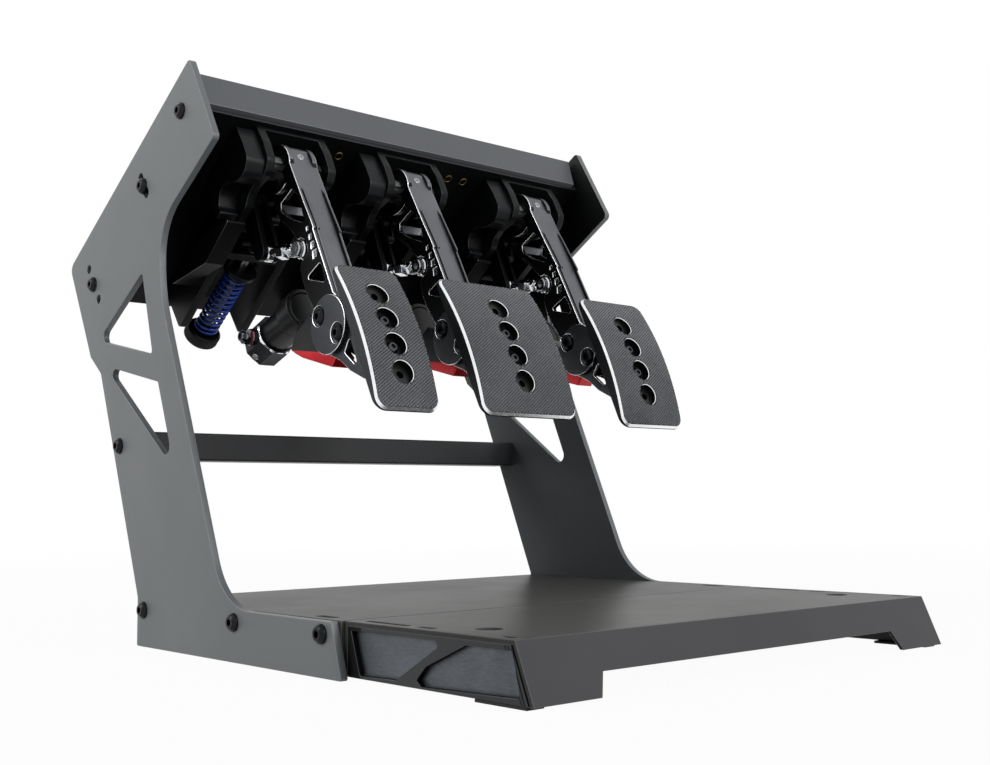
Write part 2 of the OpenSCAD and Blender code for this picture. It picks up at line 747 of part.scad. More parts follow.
// Pad: a rounded plate whose front is part of a large cylinder
pad_floor = 5;
module pad(x, w, lean) {
  c = [w / 2 - pad_corner_r, pad_h / 2 - pad_corner_r];
  color("#3f4143") clamp_frame(x, lean) translate([0, plate_back, pad_drop]) difference() {
    intersection() {
      rotate([90, 0, 0]) linear_extrude(pad_t) polygon([
        for (q = [[1, 1, 0], [-1, 1, 90], [-1, -1, 180], [1, -1, 270]], a = [0:9:90])
          [q[0] * c[0] + pad_corner_r * cos(q[2] + a), q[1] * c[1] + pad_corner_r * sin(q[2] + a)]
      ]);
      translate([-w / 2 - cut, pad_face_r - pad_t, 0]) rotate([0, 90, 0])
        cylinder(r = pad_face_r, h = w + 2 * cut, $fn = 256);
    }
    for (i = [-1.5:1:1.5]) translate([0, 0, i * pad_hole_pitch]) rotate([90, 0, 0]) {
      translate([0, 0, pad_floor]) cylinder(r = pad_hole_r, h = pad_t);
      translate([0, 0, -cut]) cylinder(r = m6_hole_r, h = pad_t);
    }
  }
}

// Link: two rod ends on one shank with a lock nut
module link(x) {
  d = link_rear - (pivot_at + link_front);
  len_l = norm(d);
  tilt = atan2(d[1], d[0]);
  mid = link_x + rod_end_t / 2;
  color("#d8dadc") translate([x + mid, pivot_at[0] + link_front[0], pivot_at[1] + link_front[1]])
    rotate([tilt, 0, 0]) difference() {
      union() {
        for (y = [0, len_l]) rod_x(-rod_end_t / 2, rod_end_t / 2, [y, 0], rod_end_r);
        rotate([-90, 0, 0]) cylinder(r = rod_end_t / 2 - 0.4, h = len_l);
        translate([0, rod_end_r + 6, 0]) rotate([-90, 0, 0]) cylinder(r = 6.5, h = 5, $fn = 6);
        translate([0, rod_end_r + 16, 0]) rotate([-90, 0, 0]) cylinder(r = 7, h = 12, $fn = 6);
      }
      rod_x(-rod_end_t, rod_end_t, [0, 0], pin_r + run_gap);
      rod_x(-rod_end_t, rod_end_t, [len_l, 0], pin_r + open_pivot_gap);
    }
}

// Rocker: a tube on its pin, three straps, the link's pin and the roller
module rocker(x) {
  far = [link_rear_u - rocker_u, rocker_v - link_rear_v];
  rol = [roller_at[0], -roller_at[1]];
  hub_x = cheek_in - side_gap;
  x1 = link_x - side_gap - plate1_t;
  x2 = -plate2_out - plate2_t;
  color("#2d2f32") translate([x, 0, 0]) deck_frame() translate([0, rocker_u, -rocker_v]) difference() {
    union() {
      rod_x(-hub_x, hub_x, [0, 0], rocker_hub_r - 3);
      side(x1, plate1_t) strap([0, 0], far, rocker_hub_r, rod_end_r);
      side(x2, plate2_t) strap([0, 0], far, rocker_hub_r - 2, rod_end_r);
      side(plate2_out, plate2_t) strap([0, 0], rol, rocker_hub_r - 2, roller_r - 0.6);
      rod_x(x1, x2 + plate2_t, far, pin_r);
      rod_x(-roller_w / 2, roller_w / 2, rol, roller_r);
      rod_x(x2, plate2_out + plate2_t, rol, roller_r - 2);
    }
    rod_x(-hub_x - cut, hub_x + cut, [0, 0], pin_r + run_gap);
  }
}

// Slider with a fork round the guide rod and a ring seat for the spring
push_u = rocker_u + roller_at[0] + roller_r + open_pivot_gap;
module fork_slider(x) {
  color("#a7aaad") translate([x, 0, 0]) deck_frame() difference() {
    union() {
      rod_u(push_u, yoke_u + yoke_t, push_v, 0, push_r);
      translate([-leg_x - 4, yoke_u, -push_v - 7]) cube([2 * leg_x + 8, yoke_t, 14]);
      for (s = [-1, 1]) rod_u(yoke_u, seat_u + seat_t, push_v, s * leg_x, leg_r);
      rod_u(seat_u, seat_u + seat_t, push_v, 0, leg_x + leg_r + seat_rim);
    }
    rod_u(seat_u - cut, seat_u + seat_t + cut, push_v, 0, guide_r + run_gap);
  }
}

// Piston rod of the master cylinder
piston_r = 5;
piston_u = 160;
module piston_slider(x) {
  color("#c8cbce") translate([x, 0, 0]) deck_frame() {
    rod_u(push_u, yoke_u, push_v, 0, push_r);
    rod_u(yoke_u, piston_u, push_v, 0, piston_r);
    rod_u(yoke_u, yoke_u + yoke_t, push_v, 0, piston_r + 4);
  }
}

// Master cylinder, bolted to the guide wall
module master_cylinder(x) {
  u0 = wall_u + wall_t;
  color("#34373b") translate([x, 0, 0]) deck_frame() difference() {
    union() {
      rod_u(u0, u0 + 5, push_v, 0, cylinder_r + 4);
      rod_u(u0, 200, push_v, 0, cylinder_r);
      rod_u(195, knob_u, push_v, 0, cylinder_r - 3);
    }
    rod_u(u0 - cut, piston_u + 12, push_v, 0, piston_r + run_gap);
  }
}

// Spring: one wire swept along a helix, with straight ends square to the seats
spring_u0 = seat_u + seat_t;
spring_u1 = knob_u;
coil_r = spring_r - wire_d / 2;
rings_per_turn = 8;
wire_sides = 6;
coil_steps = spring_turns * rings_per_turn;
coil_u0 = spring_u0 + wire_d;
coil_u1 = spring_u1 - wire_d;
function coil_point(k) =
  let (a = 360 * k / rings_per_turn, u = coil_u0 + (coil_u1 - coil_u0) * k / coil_steps)
  [coil_r * cos(a), u, coil_r * sin(a)];
wire_path = concat(
  [[coil_r, spring_u0, 0]],
  [for (k = [0:coil_steps]) coil_point(k)],
  [[coil_r, spring_u1, 0]]
);
function wire_tangent(i) =
  let (n = len(wire_path) - 1)
  unit(i == 0 || i == n ? [0, 1, 0] :
    unit(wire_path[i + 1] - wire_path[i]) + unit(wire_path[i] - wire_path[i - 1]));
function wire_ring(i) =
  let (
    p = wire_path[i],
    t = wire_tangent(i),
    radial = unit([p[0], 0, p[2]]),
    b = unit(cross(t, radial)),
    n = cross(b, t)
  )
  [for (j = [0:wire_sides - 1]) let (a = 360 * j / wire_sides) p + (wire_d / 2) * (n * cos(a) + b * sin(a))];
// Least gap between stretches of wire more than half a turn apart
spring_gap = min([for (i = [0:len(wire_path) - 1], j = [0:len(wire_path) - 1])
  if (j > i + rings_per_turn / 2) norm(wire_path[i] - wire_path[j])]) - wire_d;
echo("least gap between the spring's turns, mm", spring_gap);

module spring(x, tint) {
  n = len(wire_path);
  m = wire_sides;
  points = [for (i = [0:n - 1]) each wire_ring(i)];
  walls = [for (i = [0:n - 2], j = [0:m - 1]) each
    let (a = i * m + j, b = i * m + (j + 1) % m) [[a, a + m, b], [b, a + m, b + m]]];
  ends = [for (j = [1:m - 2]) each
    [[0, j, j + 1], [(n - 1) * m, (n - 1) * m + j + 1, (n - 1) * m + j]]];
  color(tint) translate([x, 0, 0]) deck_frame() translate([0, 0, -push_v])
    polyhedron(points = points, faces = concat(walls, ends), convexity = 10);
}

module knob(x, tint) {
  rim = 1.5;
  color(tint) translate([x, 0, 0]) deck_frame() difference() {
    union() {
      rod_u(knob_u, knob_u + knob_len, push_v, 0, knob_r - rim);
      rod_u(knob_u + 2, knob_u + knob_len - 2, push_v, 0, knob_r);
    }
    rod_u(knob_u - cut, knob_u + knob_len + cut, push_v, 0, guide_r + run_gap);
  }
}

// Vibration motor: can, eight-sided collar, side fitting
can_len = 58;
collar_len = 26;
clamp_len = 18;
module motor(x) {
  across = collar_w / 2 / cos(22.5);
  color("#54575a") motor_frame(x) {
    rod_along(clamp_start, can_len, motor_r);
    rotate([-90, 22.5, 0]) translate([0, 0, can_len - cut]) cylinder(r = across, h = collar_len + cut, $fn = 8);
    translate([0, can_len + collar_len * 0.45, 2]) rotate([0, -90, 0]) {
      cylinder(r = 7.5, h = collar_w / 2 + 2.5);
      cylinder(r = 7, h = collar_w / 2 + 9, $fn = 6);
      cylinder(r = 4.5, h = collar_w / 2 + 12);
    }
  }
}
clamp_start = 8;
module rod_along(y0, y1, r) {
  translate([0, y0, 0]) rotate([-90, 0, 0]) cylinder(r = r, h = y1 - y0);
}

// Cradle: a wedge between the flanges and a ring round the motor
cradle_outline = [
  [-86.5, -172, 1], [-80, -180, 1], [-36, -168.5, 2], [-26, -164.5, 2], [-18, -160.5, 1], [-22, -150, 2],
  [-44, -132, 2], [-60, -146, 3]
];
ring_wall = 3.5;
module cradle(x) {
  color("#c8202a") arm_frame(x) difference() {
    union() {
      side(-flange_in, 2 * flange_in) polygon(rounded(cradle_outline));
      translate([0, motor_front[0], motor_front[1]]) rotate([-motor_tilt, 0, 0])
        rod_along(clamp_start, clamp_start + clamp_len, motor_r + ring_wall);
    }
    translate([0, motor_front[0], motor_front[1]]) rotate([-motor_tilt, 0, 0])
      rod_along(clamp_start, can_len, motor_r);
    for (s = [-1, 1]) rod_x(-half_arm, half_arm, clamp_at + s * clamp_screw, m8_hole_r);
  }
}

// The units, one module per node
module clutch_base() { unit_base(clutch_x, [-leg_x, leg_x], leg_r); }
module clutch_cover() { unit_cover(clutch_x); }
module clutch_sensor_box() { unit_box(clutch_x); }
module clutch_axles() { unit_axles(clutch_x, true); }
module clutch_arm() { arm(clutch_x); }
module clutch_bracket() { bracket(clutch_x, face_lean); }
module clutch_discs() { discs(clutch_x); }
module clutch_screws() { unit_screws(clutch_x, face_lean); }
module clutch_pad() { pad(clutch_x, clutch_pad_w, face_lean); }
module clutch_link() { link(clutch_x); }
module clutch_rocker() { rocker(clutch_x); }
module clutch_slider() { fork_slider(clutch_x); }
module clutch_spring() { spring(clutch_x, "#1f4fb4"); }
module clutch_knob() { knob(clutch_x, "#2f3235"); }
module clutch_motor() { motor(clutch_x); }
module clutch_cradle() { cradle(clutch_x); }

module brake_base() { unit_base(brake_x, [0], piston_r); }
module brake_cover() { unit_cover(brake_x); }
module brake_sensor_box() { unit_box(brake_x); }
module brake_axles() { unit_axles(brake_x, false); }
module brake_arm() { arm(brake_x); }
module brake_bracket() { bracket(brake_x, face_lean); }
module brake_discs() { discs(brake_x); }
module brake_screws() { unit_screws(brake_x, face_lean); }
module brake_pad() { pad(brake_x, brake_pad_w, face_lean); }
module brake_link() { link(brake_x); }
module brake_rocker() { rocker(brake_x); }
module brake_slider() { piston_slider(brake_x); }
module brake_cylinder() { master_cylinder(brake_x); }
module brake_motor() { motor(brake_x); }
module brake_cradle() { cradle(brake_x); }

module throttle_base() { unit_base(throttle_x, [-leg_x, leg_x], leg_r); }
module throttle_cover() { unit_cover(throttle_x); }
module throttle_sensor_box() { unit_box(throttle_x); }
module throttle_axles() { unit_axles(throttle_x, true); }
module throttle_arm() { arm(throttle_x); }
module throttle_bracket() { bracket(throttle_x, throttle_face_lean); }
module throttle_discs() { discs(throttle_x); }
module throttle_screws() { unit_screws(throttle_x, throttle_face_lean); }
module throttle_pad() { pad(throttle_x, throttle_pad_w, throttle_face_lean); }
module throttle_link() { link(throttle_x); }
module throttle_rocker() { rocker(throttle_x); }
module throttle_slider() { fork_slider(throttle_x); }
module throttle_spring() { spring(throttle_x, "#5b5f63"); }
module throttle_knob() { knob(throttle_x, "#b08d3c"); }
module throttle_motor() { motor(throttle_x); }
module throttle_cradle() { cradle(throttle_x); }

in_place() left_side_plate();
in_place() right_side_plate();
in_place() rear_base_tray();
in_place() front_base_tray();
in_place() left_base_cap();
in_place() right_base_cap();
in_place() rubber_feet();
in_place() rear_bar();
in_place() deck();
in_place() hood();
in_place() stand_screws();

in_place() clutch_base();
in_place() clutch_cover();
in_place() clutch_sensor_box();
in_place() clutch_axles();
in_place() clutch_arm();
in_place() clutch_bracket();
in_place() clutch_discs();
in_place() clutch_screws();
in_place() clutch_pad();
in_place() clutch_link();
in_place() clutch_rocker();
in_place() clutch_slider();
in_place() clutch_spring();
in_place() clutch_knob();
in_place() clutch_motor();
in_place() clutch_cradle();

in_place() brake_base();
in_place() brake_cover();
in_place() brake_sensor_box();
in_place() brake_axles();
in_place() brake_arm();
in_place() brake_bracket();
in_place() brake_discs();
in_place() brake_screws();
in_place() brake_pad();
in_place() brake_link();
in_place() brake_rocker();
in_place() brake_slider();
in_place() brake_cylinder();
in_place() brake_motor();
in_place() brake_cradle();

in_place() throttle_base();
in_place() throttle_cover();
in_place() throttle_sensor_box();
in_place() throttle_axles();
in_place() throttle_arm();
in_place() throttle_bracket();
in_place() throttle_discs();
in_place() throttle_screws();
in_place() throttle_pad();
in_place() throttle_link();
in_place() throttle_rocker();
in_place() throttle_slider();
in_place() throttle_spring();
in_place() throttle_knob();
in_place() throttle_motor();
in_place() throttle_cradle();
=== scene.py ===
import json
import math

import bmesh
import bpy
from mathutils import Matrix, Vector


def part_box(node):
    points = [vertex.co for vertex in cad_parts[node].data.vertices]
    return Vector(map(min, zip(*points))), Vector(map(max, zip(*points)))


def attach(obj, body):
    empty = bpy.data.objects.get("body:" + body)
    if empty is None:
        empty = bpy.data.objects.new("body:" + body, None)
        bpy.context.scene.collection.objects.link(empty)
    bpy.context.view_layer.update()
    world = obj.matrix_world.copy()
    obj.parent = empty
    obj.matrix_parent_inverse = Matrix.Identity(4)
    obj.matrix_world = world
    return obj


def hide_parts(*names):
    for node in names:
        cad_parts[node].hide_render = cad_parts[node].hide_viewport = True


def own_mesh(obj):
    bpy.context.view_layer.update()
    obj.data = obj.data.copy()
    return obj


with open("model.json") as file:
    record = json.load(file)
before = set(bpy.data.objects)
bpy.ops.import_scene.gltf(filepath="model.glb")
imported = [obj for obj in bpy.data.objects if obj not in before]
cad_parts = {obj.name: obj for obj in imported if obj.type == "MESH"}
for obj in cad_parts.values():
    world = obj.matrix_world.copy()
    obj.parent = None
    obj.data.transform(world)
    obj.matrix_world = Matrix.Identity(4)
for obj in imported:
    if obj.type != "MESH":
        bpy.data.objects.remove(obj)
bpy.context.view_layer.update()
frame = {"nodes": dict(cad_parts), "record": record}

# Places are in millimetres in the stand's drawing: x to the right, y to the rear, z up
drawing = {"shiftY": -96.485, "deckY": 181.0, "deckZ": 446.0, "deckTilt": 36.46, "halfWidth": 230.0}
units = {
    "clutch": {"x": -130.0, "padWidth": 61.0, "lean": 27.0},
    "brake": {"x": -2.0, "padWidth": 106.0, "lean": 27.0},
    "throttle": {"x": 153.0, "padWidth": 81.0, "lean": 24.0},
}
# pivot, linkRear and push are to the rear along the deck's slope and down from it, the other pairs are to the
# rear of the arm's pivot and up from it
unitPlaces = {
    "pivot": (25.1, 28.1), "linkRear": (80.1, 76.4), "push": 37.5,
    "clamp": (-92.5, -147.5), "clampScrew": (13.0, 8.0), "linkFront": (-40.5, -77.5),
    "motor": (-34.5, -122.5), "motorTilt": 20.2, "padDrop": -33.9, "padAhead": 34.2,
    "wedge": (-48.9, -164.4), "wedgeWay": (0.12, -1.0),
}


def onDeck(u, v):
    # a point of the deck's slope, u to the rear along it and v down from it
    tilt = math.radians(drawing["deckTilt"])
    y = drawing["deckY"] + u * math.cos(tilt) - v * math.sin(tilt)
    z = drawing["deckZ"] - u * math.sin(tilt) - v * math.cos(tilt)
    return y, z


def placed(x, y, z):
    return Matrix.Translation(Vector((x, y + drawing["shiftY"], z)) / 1000)


def leaning(degrees):
    return Matrix.Rotation(math.radians(-degrees), 4, "X")


def moved(x, y, z):
    return Matrix.Translation(Vector((x, y, z)) / 1000)


alongX = Matrix.Rotation(math.radians(90), 4, "Y")
againstX = Matrix.Rotation(math.radians(-90), 4, "Y")
alongY = Matrix.Rotation(math.radians(-90), 4, "X")


def deckFrame(x):
    return placed(x, drawing["deckY"], drawing["deckZ"]) @ leaning(drawing["deckTilt"])


def armFrame(x):
    return placed(x, *onDeck(*unitPlaces["pivot"]))


def clampFrame(x, lean):
    return armFrame(x) @ moved(0, *unitPlaces["clamp"]) @ leaning(lean)


def padFrame(unit):
    return clampFrame(unit["x"], unit["lean"]) @ moved(0, -unitPlaces["padAhead"], unitPlaces["padDrop"])


def motorFrame(x):
    return armFrame(x) @ moved(0, *unitPlaces["motor"]) @ leaning(unitPlaces["motorTilt"])


def pushFrame(x, along):
    # z runs to the rear on the axis of a spring, its knob or the cylinder
    return deckFrame(x) @ moved(0, along, -unitPlaces["push"]) @ alongY


def linear(hexColour):
    # an sRGB hex colour as the shader wants it
    values = [int(hexColour[i:i + 2], 16) / 255 for i in (1, 3, 5)]
    return tuple(v / 12.92 if v <= 0.04045 else ((v + 0.055) / 1.055) ** 2.4 for v in values) + (1.0,)


def add(tree, kind, inputs=None, **settings):
    # adds a node; an input is a value, a socket, or a node for its first output
    node = tree.nodes.new(kind)
    for name, value in settings.items():
        setattr(node, name, value)
    for key, value in (inputs or {}).items():
        for one in value if isinstance(value, list) else [value]:
            if isinstance(one, bpy.types.Node):
                tree.links.new(one.outputs[0], node.inputs[key])
            elif isinstance(one, bpy.types.NodeSocket):
                tree.links.new(one, node.inputs[key])
            else:
                node.inputs[key].default_value = one
    return node


def newMaterial(name, shader):
    material = bpy.data.materials.new(name)
    material.use_nodes = True
    tree = material.node_tree
    tree.nodes.clear()
    surface = add(tree, "ShaderNodeBsdfPrincipled", shader)
    add(tree, "ShaderNodeOutputMaterial", {"Surface": surface})
    return material, tree, surface, add(tree, "ShaderNodeTexCoord").outputs["Object"]


def dress(tree, surface, tone, gloss, skin):
    # hands a finish's colour, gloss and grain to its shader
    tree.links.new(tone.outputs[2], surface.inputs["Base Color"])
    tree.links.new(gloss.outputs[0], surface.inputs["Roughness"])
    tree.links.new(skin.outputs[0], surface.inputs["Normal"])


coatSkin = {"cloudScale": 11.0, "cloudDetail": 4.0, "detail": 2.0, "depth": 0.0003, "shinier": 0.05, "duller": 0.06}


def coated(name, colour, shade, roughness=0.5, grainMm=1.0, grain=0.12, shader=None):
    # sprayed or moulded skin: small soft pimples and a faint cloudiness; real pimples of about 0.3 mm
    # would not show, so they are drawn as coarse as grainMm
    material, tree, surface, place = newMaterial(name, shader or {})
    cloud = add(tree, "ShaderNodeTexNoise", {
        "Vector": place, "Scale": coatSkin["cloudScale"], "Detail": coatSkin["cloudDetail"]})
    tone = add(tree, "ShaderNodeMix", {0: cloud, 6: linear(colour), 7: linear(shade)}, data_type="RGBA")
    pimples = add(tree, "ShaderNodeTexNoise", {
        "Vector": place, "Scale": 1000 / grainMm, "Detail": coatSkin["detail"]})
    skin = add(tree, "ShaderNodeBump", {"Height": pimples, "Strength": grain, "Distance": coatSkin["depth"]})
    gloss = add(tree, "ShaderNodeMapRange", {
        "Value": cloud, "To Min": roughness - coatSkin["shinier"], "To Max": roughness + coatSkin["duller"]})
    dress(tree, surface, tone, gloss, skin)
    return material


metalSkin = {
    "cloudScale": 30.0, "detail": 3.0, "low": 0.12, "high": 0.38, "depth": 0.0002, "shinier": 0.08, "duller": 0.1}


def brushed(name, colour, shade, roughness=0.35, lineMm=(6, 0.25, 6), groove=0.1, shader=None):
    # metal with fine lines left by the belt or the cutter; lineMm is a line's size along x, y and z, drawn
    # a few times wider than a real one of 0.1 mm, which would not show
    material, tree, surface, place = newMaterial(name, {"Metallic": 1.0, **(shader or {})})
    stretched = add(tree, "ShaderNodeMapping", {"Vector": place, "Scale": tuple(1000 / mm for mm in lineMm)})
    lines = add(tree, "ShaderNodeTexNoise", {"Vector": stretched, "Scale": 1.0, "Detail": metalSkin["detail"]})
    cloud = add(tree, "ShaderNodeTexNoise", {
        "Vector": place, "Scale": metalSkin["cloudScale"], "Detail": metalSkin["detail"]})
    both = add(tree, "ShaderNodeMath", {0: lines, 1: cloud}, operation="MULTIPLY")
    spread = add(tree, "ShaderNodeMapRange", {
        "Value": both, "From Min": metalSkin["low"], "From Max": metalSkin["high"]})
    tone = add(tree, "ShaderNodeMix", {0: spread, 6: linear(colour), 7: linear(shade)}, data_type="RGBA")
    skin = add(tree, "ShaderNodeBump", {"Height": lines, "Strength": groove, "Distance": metalSkin["depth"]})
    gloss = add(tree, "ShaderNodeMapRange", {
        "Value": lines, "To Min": roughness - metalSkin["shinier"], "To Max": roughness + metalSkin["duller"]})
    dress(tree, surface, tone, gloss, skin)
    return material


# a finish is its name, colour, second colour, roughness, grain or line size in millimetres, its depth and
# what its shader gets beside these
dull = {"Specular IOR Level": 0.12}
tinted = {"Metallic": 0.8}
dyed = {"Metallic": 0.4, "Specular IOR Level": 0.2}
finishes = {
    # powder coated steel plate, laser cut: satin grey with fine orange peel
    "platePaint": coated("powderCoatedSteelGrey", "#6f7375", "#666a6d", 0.42, 1.2, 0.10),
    # the same coat over the broken edge of the cut, a little brighter
    "plateEdge": coated("powderCoatedSteelEdge", "#8a8d90", "#7b7f82", 0.40, 1.0, 0.08),
    # painted shade: the same coat on the plates' inner sides, painted darker and duller for the deck's shade
    "plateInsidePaintedShade": coated(
        "powderCoatedSteelShaded", "#565a5c", "#4e5254", 0.45, 1.2, 0.10, {"Specular IOR Level": 0.15}),
    # powder coated folded sheet: smoother, so the top mirrors the column softly
    "trayPaint": coated(
        "powderCoatedSteelTray", "#4c4c4a", "#434342", 0.33, 1.4, 0.12, {"Specular IOR Level": 0.03}),
    # its bends and cut edges, where the coat lies thin
    "trayEdge": coated("powderCoatedTrayEdge", "#4c4c4e", "#424244", 0.38, 1.0, 0.08),
    # painted light: the same coat painted lighter on the slanted lip, for the light it takes
    "lipPaintedLight": coated(
        "powderCoatedSteelLipPaintedLight", "#58585a", "#4f4f51", 0.36, 1.4, 0.12, {"Specular IOR Level": 0.05}),
    # milled aluminium cap, painted: dark satin
    "capPaint": coated("paintedMilledCap", "#2c2e2f", "#262829", 0.45, 0.8, 0.10, {"Specular IOR Level": 0.3}),
    # painted shade: the same paint near black in its grooves, on its plain end and on the pockets' walls
    "capShade": coated("capRecessPaintedShade", "#070808", "#050505", 0.60, 0.8, 0.10, dull),
    # milled aluminium left as cut: blue grey with the cutter's level lines
    "capPocket": brushed("milledPocketAluminium", "#5d6165", "#4c5054", 0.42, (4, 5, 0.5), 0.25),
    # moulded natural rubber: matt black
    "rubber": coated("blackNaturalRubber", "#1b1b1b", "#141414", 0.85, 0.6, 0.35),
    # black oxide steel screws: dark and half shiny
    "blackScrew": brushed("blackOxideSteel", "#2b2c2e", "#1c1d1f", 0.30, (0.6, 0.6, 0.6), 0.08),
    # powder coated steel deck: black satin
    "deckPaint": coated(
        "powderCoatedSteelBlack", "#1e2022", "#17191b", 0.42, 1.2, 0.12, {"Specular IOR Level": 0.3}),
    # painted shade: the same coat under the deck, painted near black and duller for the shade beneath it
    "deckShade": coated("powderCoatedSteelUnderPaintedShade", "#08090a", "#050606", 0.50, 1.2, 0.12, dull),
    # powder coated steel hood: middle grey satin
    "hoodPaint": coated("powderCoatedHoodGrey", "#626569", "#595c60", 0.40, 1.2, 0.10, {"Specular IOR Level": 0.35}),
    # powder coated steel bar: dark satin
    "barPaint": coated("powderCoatedBarDark", "#292b2e", "#222427", 0.42, 1.2, 0.10),
    # black anodised aluminium: matt, with the blasted grain under the dye
    "unitBlack": coated(
        "blackAnodisedAluminium", "#0f1112", "#0a0b0c", 0.40, 0.5, 0.15, {"Specular IOR Level": 0.15}),
    # its milled chamfers: thin lines a little lighter
    "unitEdge": brushed("blackAnodisedEdge", "#3a3d40", "#2b2e31", 0.36, (3, 3, 0.4), 0.08),
    # moulded polyamide: black with a fine even grain
    "coverPlastic": coated(
        "mouldedPolyamideBlack", "#121416", "#0d0e10", 0.38, 0.5, 0.20, {"Specular IOR Level": 0.18}),
    # the box is of the same plastic, duller
    "boxPlastic": coated("mouldedBoxBlack", "#090a0b", "#060708", 0.45, 0.5, 0.20, dull),
    # its rubbed corners: a soft shine
    "boxEdge": brushed("polishedBoxEdge", "#5b5e62", "#46494c", 0.32, (3, 3, 0.4), 0.06),
    # turned stainless steel: fine rings and a clear shine
    "steel": brushed("turnedStainlessSteel", "#8d9094", "#6d7074", 0.30, (0.3, 4, 4), 0.08),
    # grey anodised aluminium, brushed along the arm: even and silky; on the cross pieces, painted light
    "armGrey": brushed("greyAnodisedAluminiumAndPaintedLight", "#6a6c70", "#616367", 0.40, (0.4, 9, 9), 0.03, tinted),
    # the arm's flanges, dyed black: deep, with a faint sheen of metal
    "armBlack": brushed("blackAnodisedArm", "#0f1011", "#090a0b", 0.36, (4, 1, 4), 0.06, dyed),
    # aluminium edge cut bright after the dye: a thin white line
    "brightEdge": brushed("diamondCutAluminium", "#fafbfc", "#e6e8ea", 0.24, (2, 2, 2), 0.03),
    # dark anodised aluminium, brushed across: bracket and discs gleam softly
    "bracketGrey": brushed("darkAnodisedAluminium", "#45484b", "#383b3e", 0.38, (5, 0.5, 5), 0.06, tinted),
    # satin anodised aluminium pad: dark with level lines
    "padGrey": brushed("satinAnodisedPad", "#343639", "#2b2d30", 0.36, (4, 4, 0.6), 0.06, tinted),
    # the pad's studs: a painted highlight lighter than the face between them, and worn lighter by shoes
    "padStud": brushed("satinAnodisedStud", "#707275", "#616366", 0.38, (4, 4, 4), 0.04, tinted),
    # burnished steel screws: grey glints in the dark holes
    "padScrew": brushed("burnishedScrewSteel", "#55585b", "#3c3f42", 0.26, (0.6, 0.6, 0.6), 0.08),
    # painted shade: the pad's bored holes, painted nearly black for the shade inside them
    "padHoleShade": coated("padHolePaintedShade", "#0d0e0f", "#090a0b", 0.30, 0.6, 0.10, {"Metallic": 0.4}),
    # zinc plated steel: bright and cool
    "brightScrew": brushed("zincPlatedSteel", "#b4b6b8", "#8e9194", 0.25, (0.6, 0.6, 0.6), 0.06),
    # chrome plated steel rod ends: nearly a mirror
    "chrome": brushed("chromePlatedSteel", "#e6e8ea", "#c2c5c8", 0.12, (3, 3, 3), 0.03),
    # black chromed brass fitting: a darker mirror
    "darkChrome": brushed("blackChromedBrass", "#85888c", "#626569", 0.14, (3, 3, 3), 0.04),
    # burnished steel of rocker and slider: almost black, hardly shiny
    "darkSteel": brushed("burnishedSteel", "#0e0f10", "#08090a", 0.36, (3, 0.4, 3), 0.08, dyed),
    # sprung steel with a thick glossy powder coat, blue or dark grey
    "springBlue": coated(
        "powderCoatedSpringBlue", "#173fa8", "#12348c", 0.26, 0.9, 0.10, {"Specular IOR Level": 0.4}),
    "springGrey": coated("powderCoatedSpringGrey", "#2e3135", "#24272a", 0.34, 0.9, 0.10),
    # turned and black anodised knob: dark with a ring of sheen
    "knobBlack": brushed("blackAnodisedKnob", "#0e0f10", "#08090a", 0.34, (2, 0.3, 2), 0.10, {
        "Metallic": 0.4, "Specular IOR Level": 0.25}),
    # turned brass knob: warm yellow shine
    "brass": brushed("turnedBrass", "#d9b25a", "#b98f3c", 0.26, (2, 0.3, 2), 0.08),
    # tarnished brass rings: dull yellow
    "ringBrass": brushed("dullBrass", "#7d6d45", "#5c4f30", 0.40, (2, 2, 2), 0.06),
    # black anodised cylinder, turned smooth: half shiny
    "cylinderBlack": coated(
        "blackAnodisedCylinder", "#0d0f11", "#090a0c", 0.34, 0.5, 0.12, {"Specular IOR Level": 0.25}),
    # sprayed steel can: black and a little glossy
    "motorGrey": coated("blackPaintedMotorCan", "#1b1d1f", "#141517", 0.32, 0.6, 0.12, {"Metallic": 0.4}),
    # milled aluminium collar, dyed grey: flat facets that catch the light one by one
    "collarGrey": brushed("milledCollarAluminium", "#35383b", "#292b2e", 0.34, (0.5, 4, 4), 0.08, tinted),
    # red anodised aluminium: deep colour over bright metal
    "redAnodised": brushed("redAnodisedAluminium", "#ee1f2c", "#d0131f", 0.30, (4, 0.5, 4), 0.06, {"Metallic": 0.4}),
    # moulded silicone seal: plain soft red
    "redSeal": coated("redSiliconeSeal", "#c9141d", "#a80f17", 0.5, 0.6, 0.15),
}


def paintShadeAbove(material, dark, lowMm, highMm):
    # painted shade: the coat is painted darker with height, for the deck's shade and its dark reflection above
    tree = material.node_tree
    surface = next(n for n in tree.nodes if n.type == "BSDF_PRINCIPLED")
    coat = surface.inputs["Base Color"].links[0].from_socket
    place = add(tree, "ShaderNodeSeparateXYZ", {"Vector": add(tree, "ShaderNodeTexCoord").outputs["Object"]})
    share = add(tree, "ShaderNodeMapRange", {
        "Value": place.outputs["Z"], "From Min": lowMm / 1000, "From Max": highMm / 1000},
        interpolation_type="SMOOTHSTEP")
    tone = add(tree, "ShaderNodeMix", {0: share, 6: coat, 7: linear(dark)}, data_type="RGBA")
    tree.links.new(tone.outputs[2], surface.inputs["Base Color"])


# painted shade on the plates' inner sides, near black from 250 to 350 mm up
paintShadeAbove(finishes["plateInsidePaintedShade"], "#0c0d0e", lowMm=250, highMm=350)
print("materials made:", len(finishes))


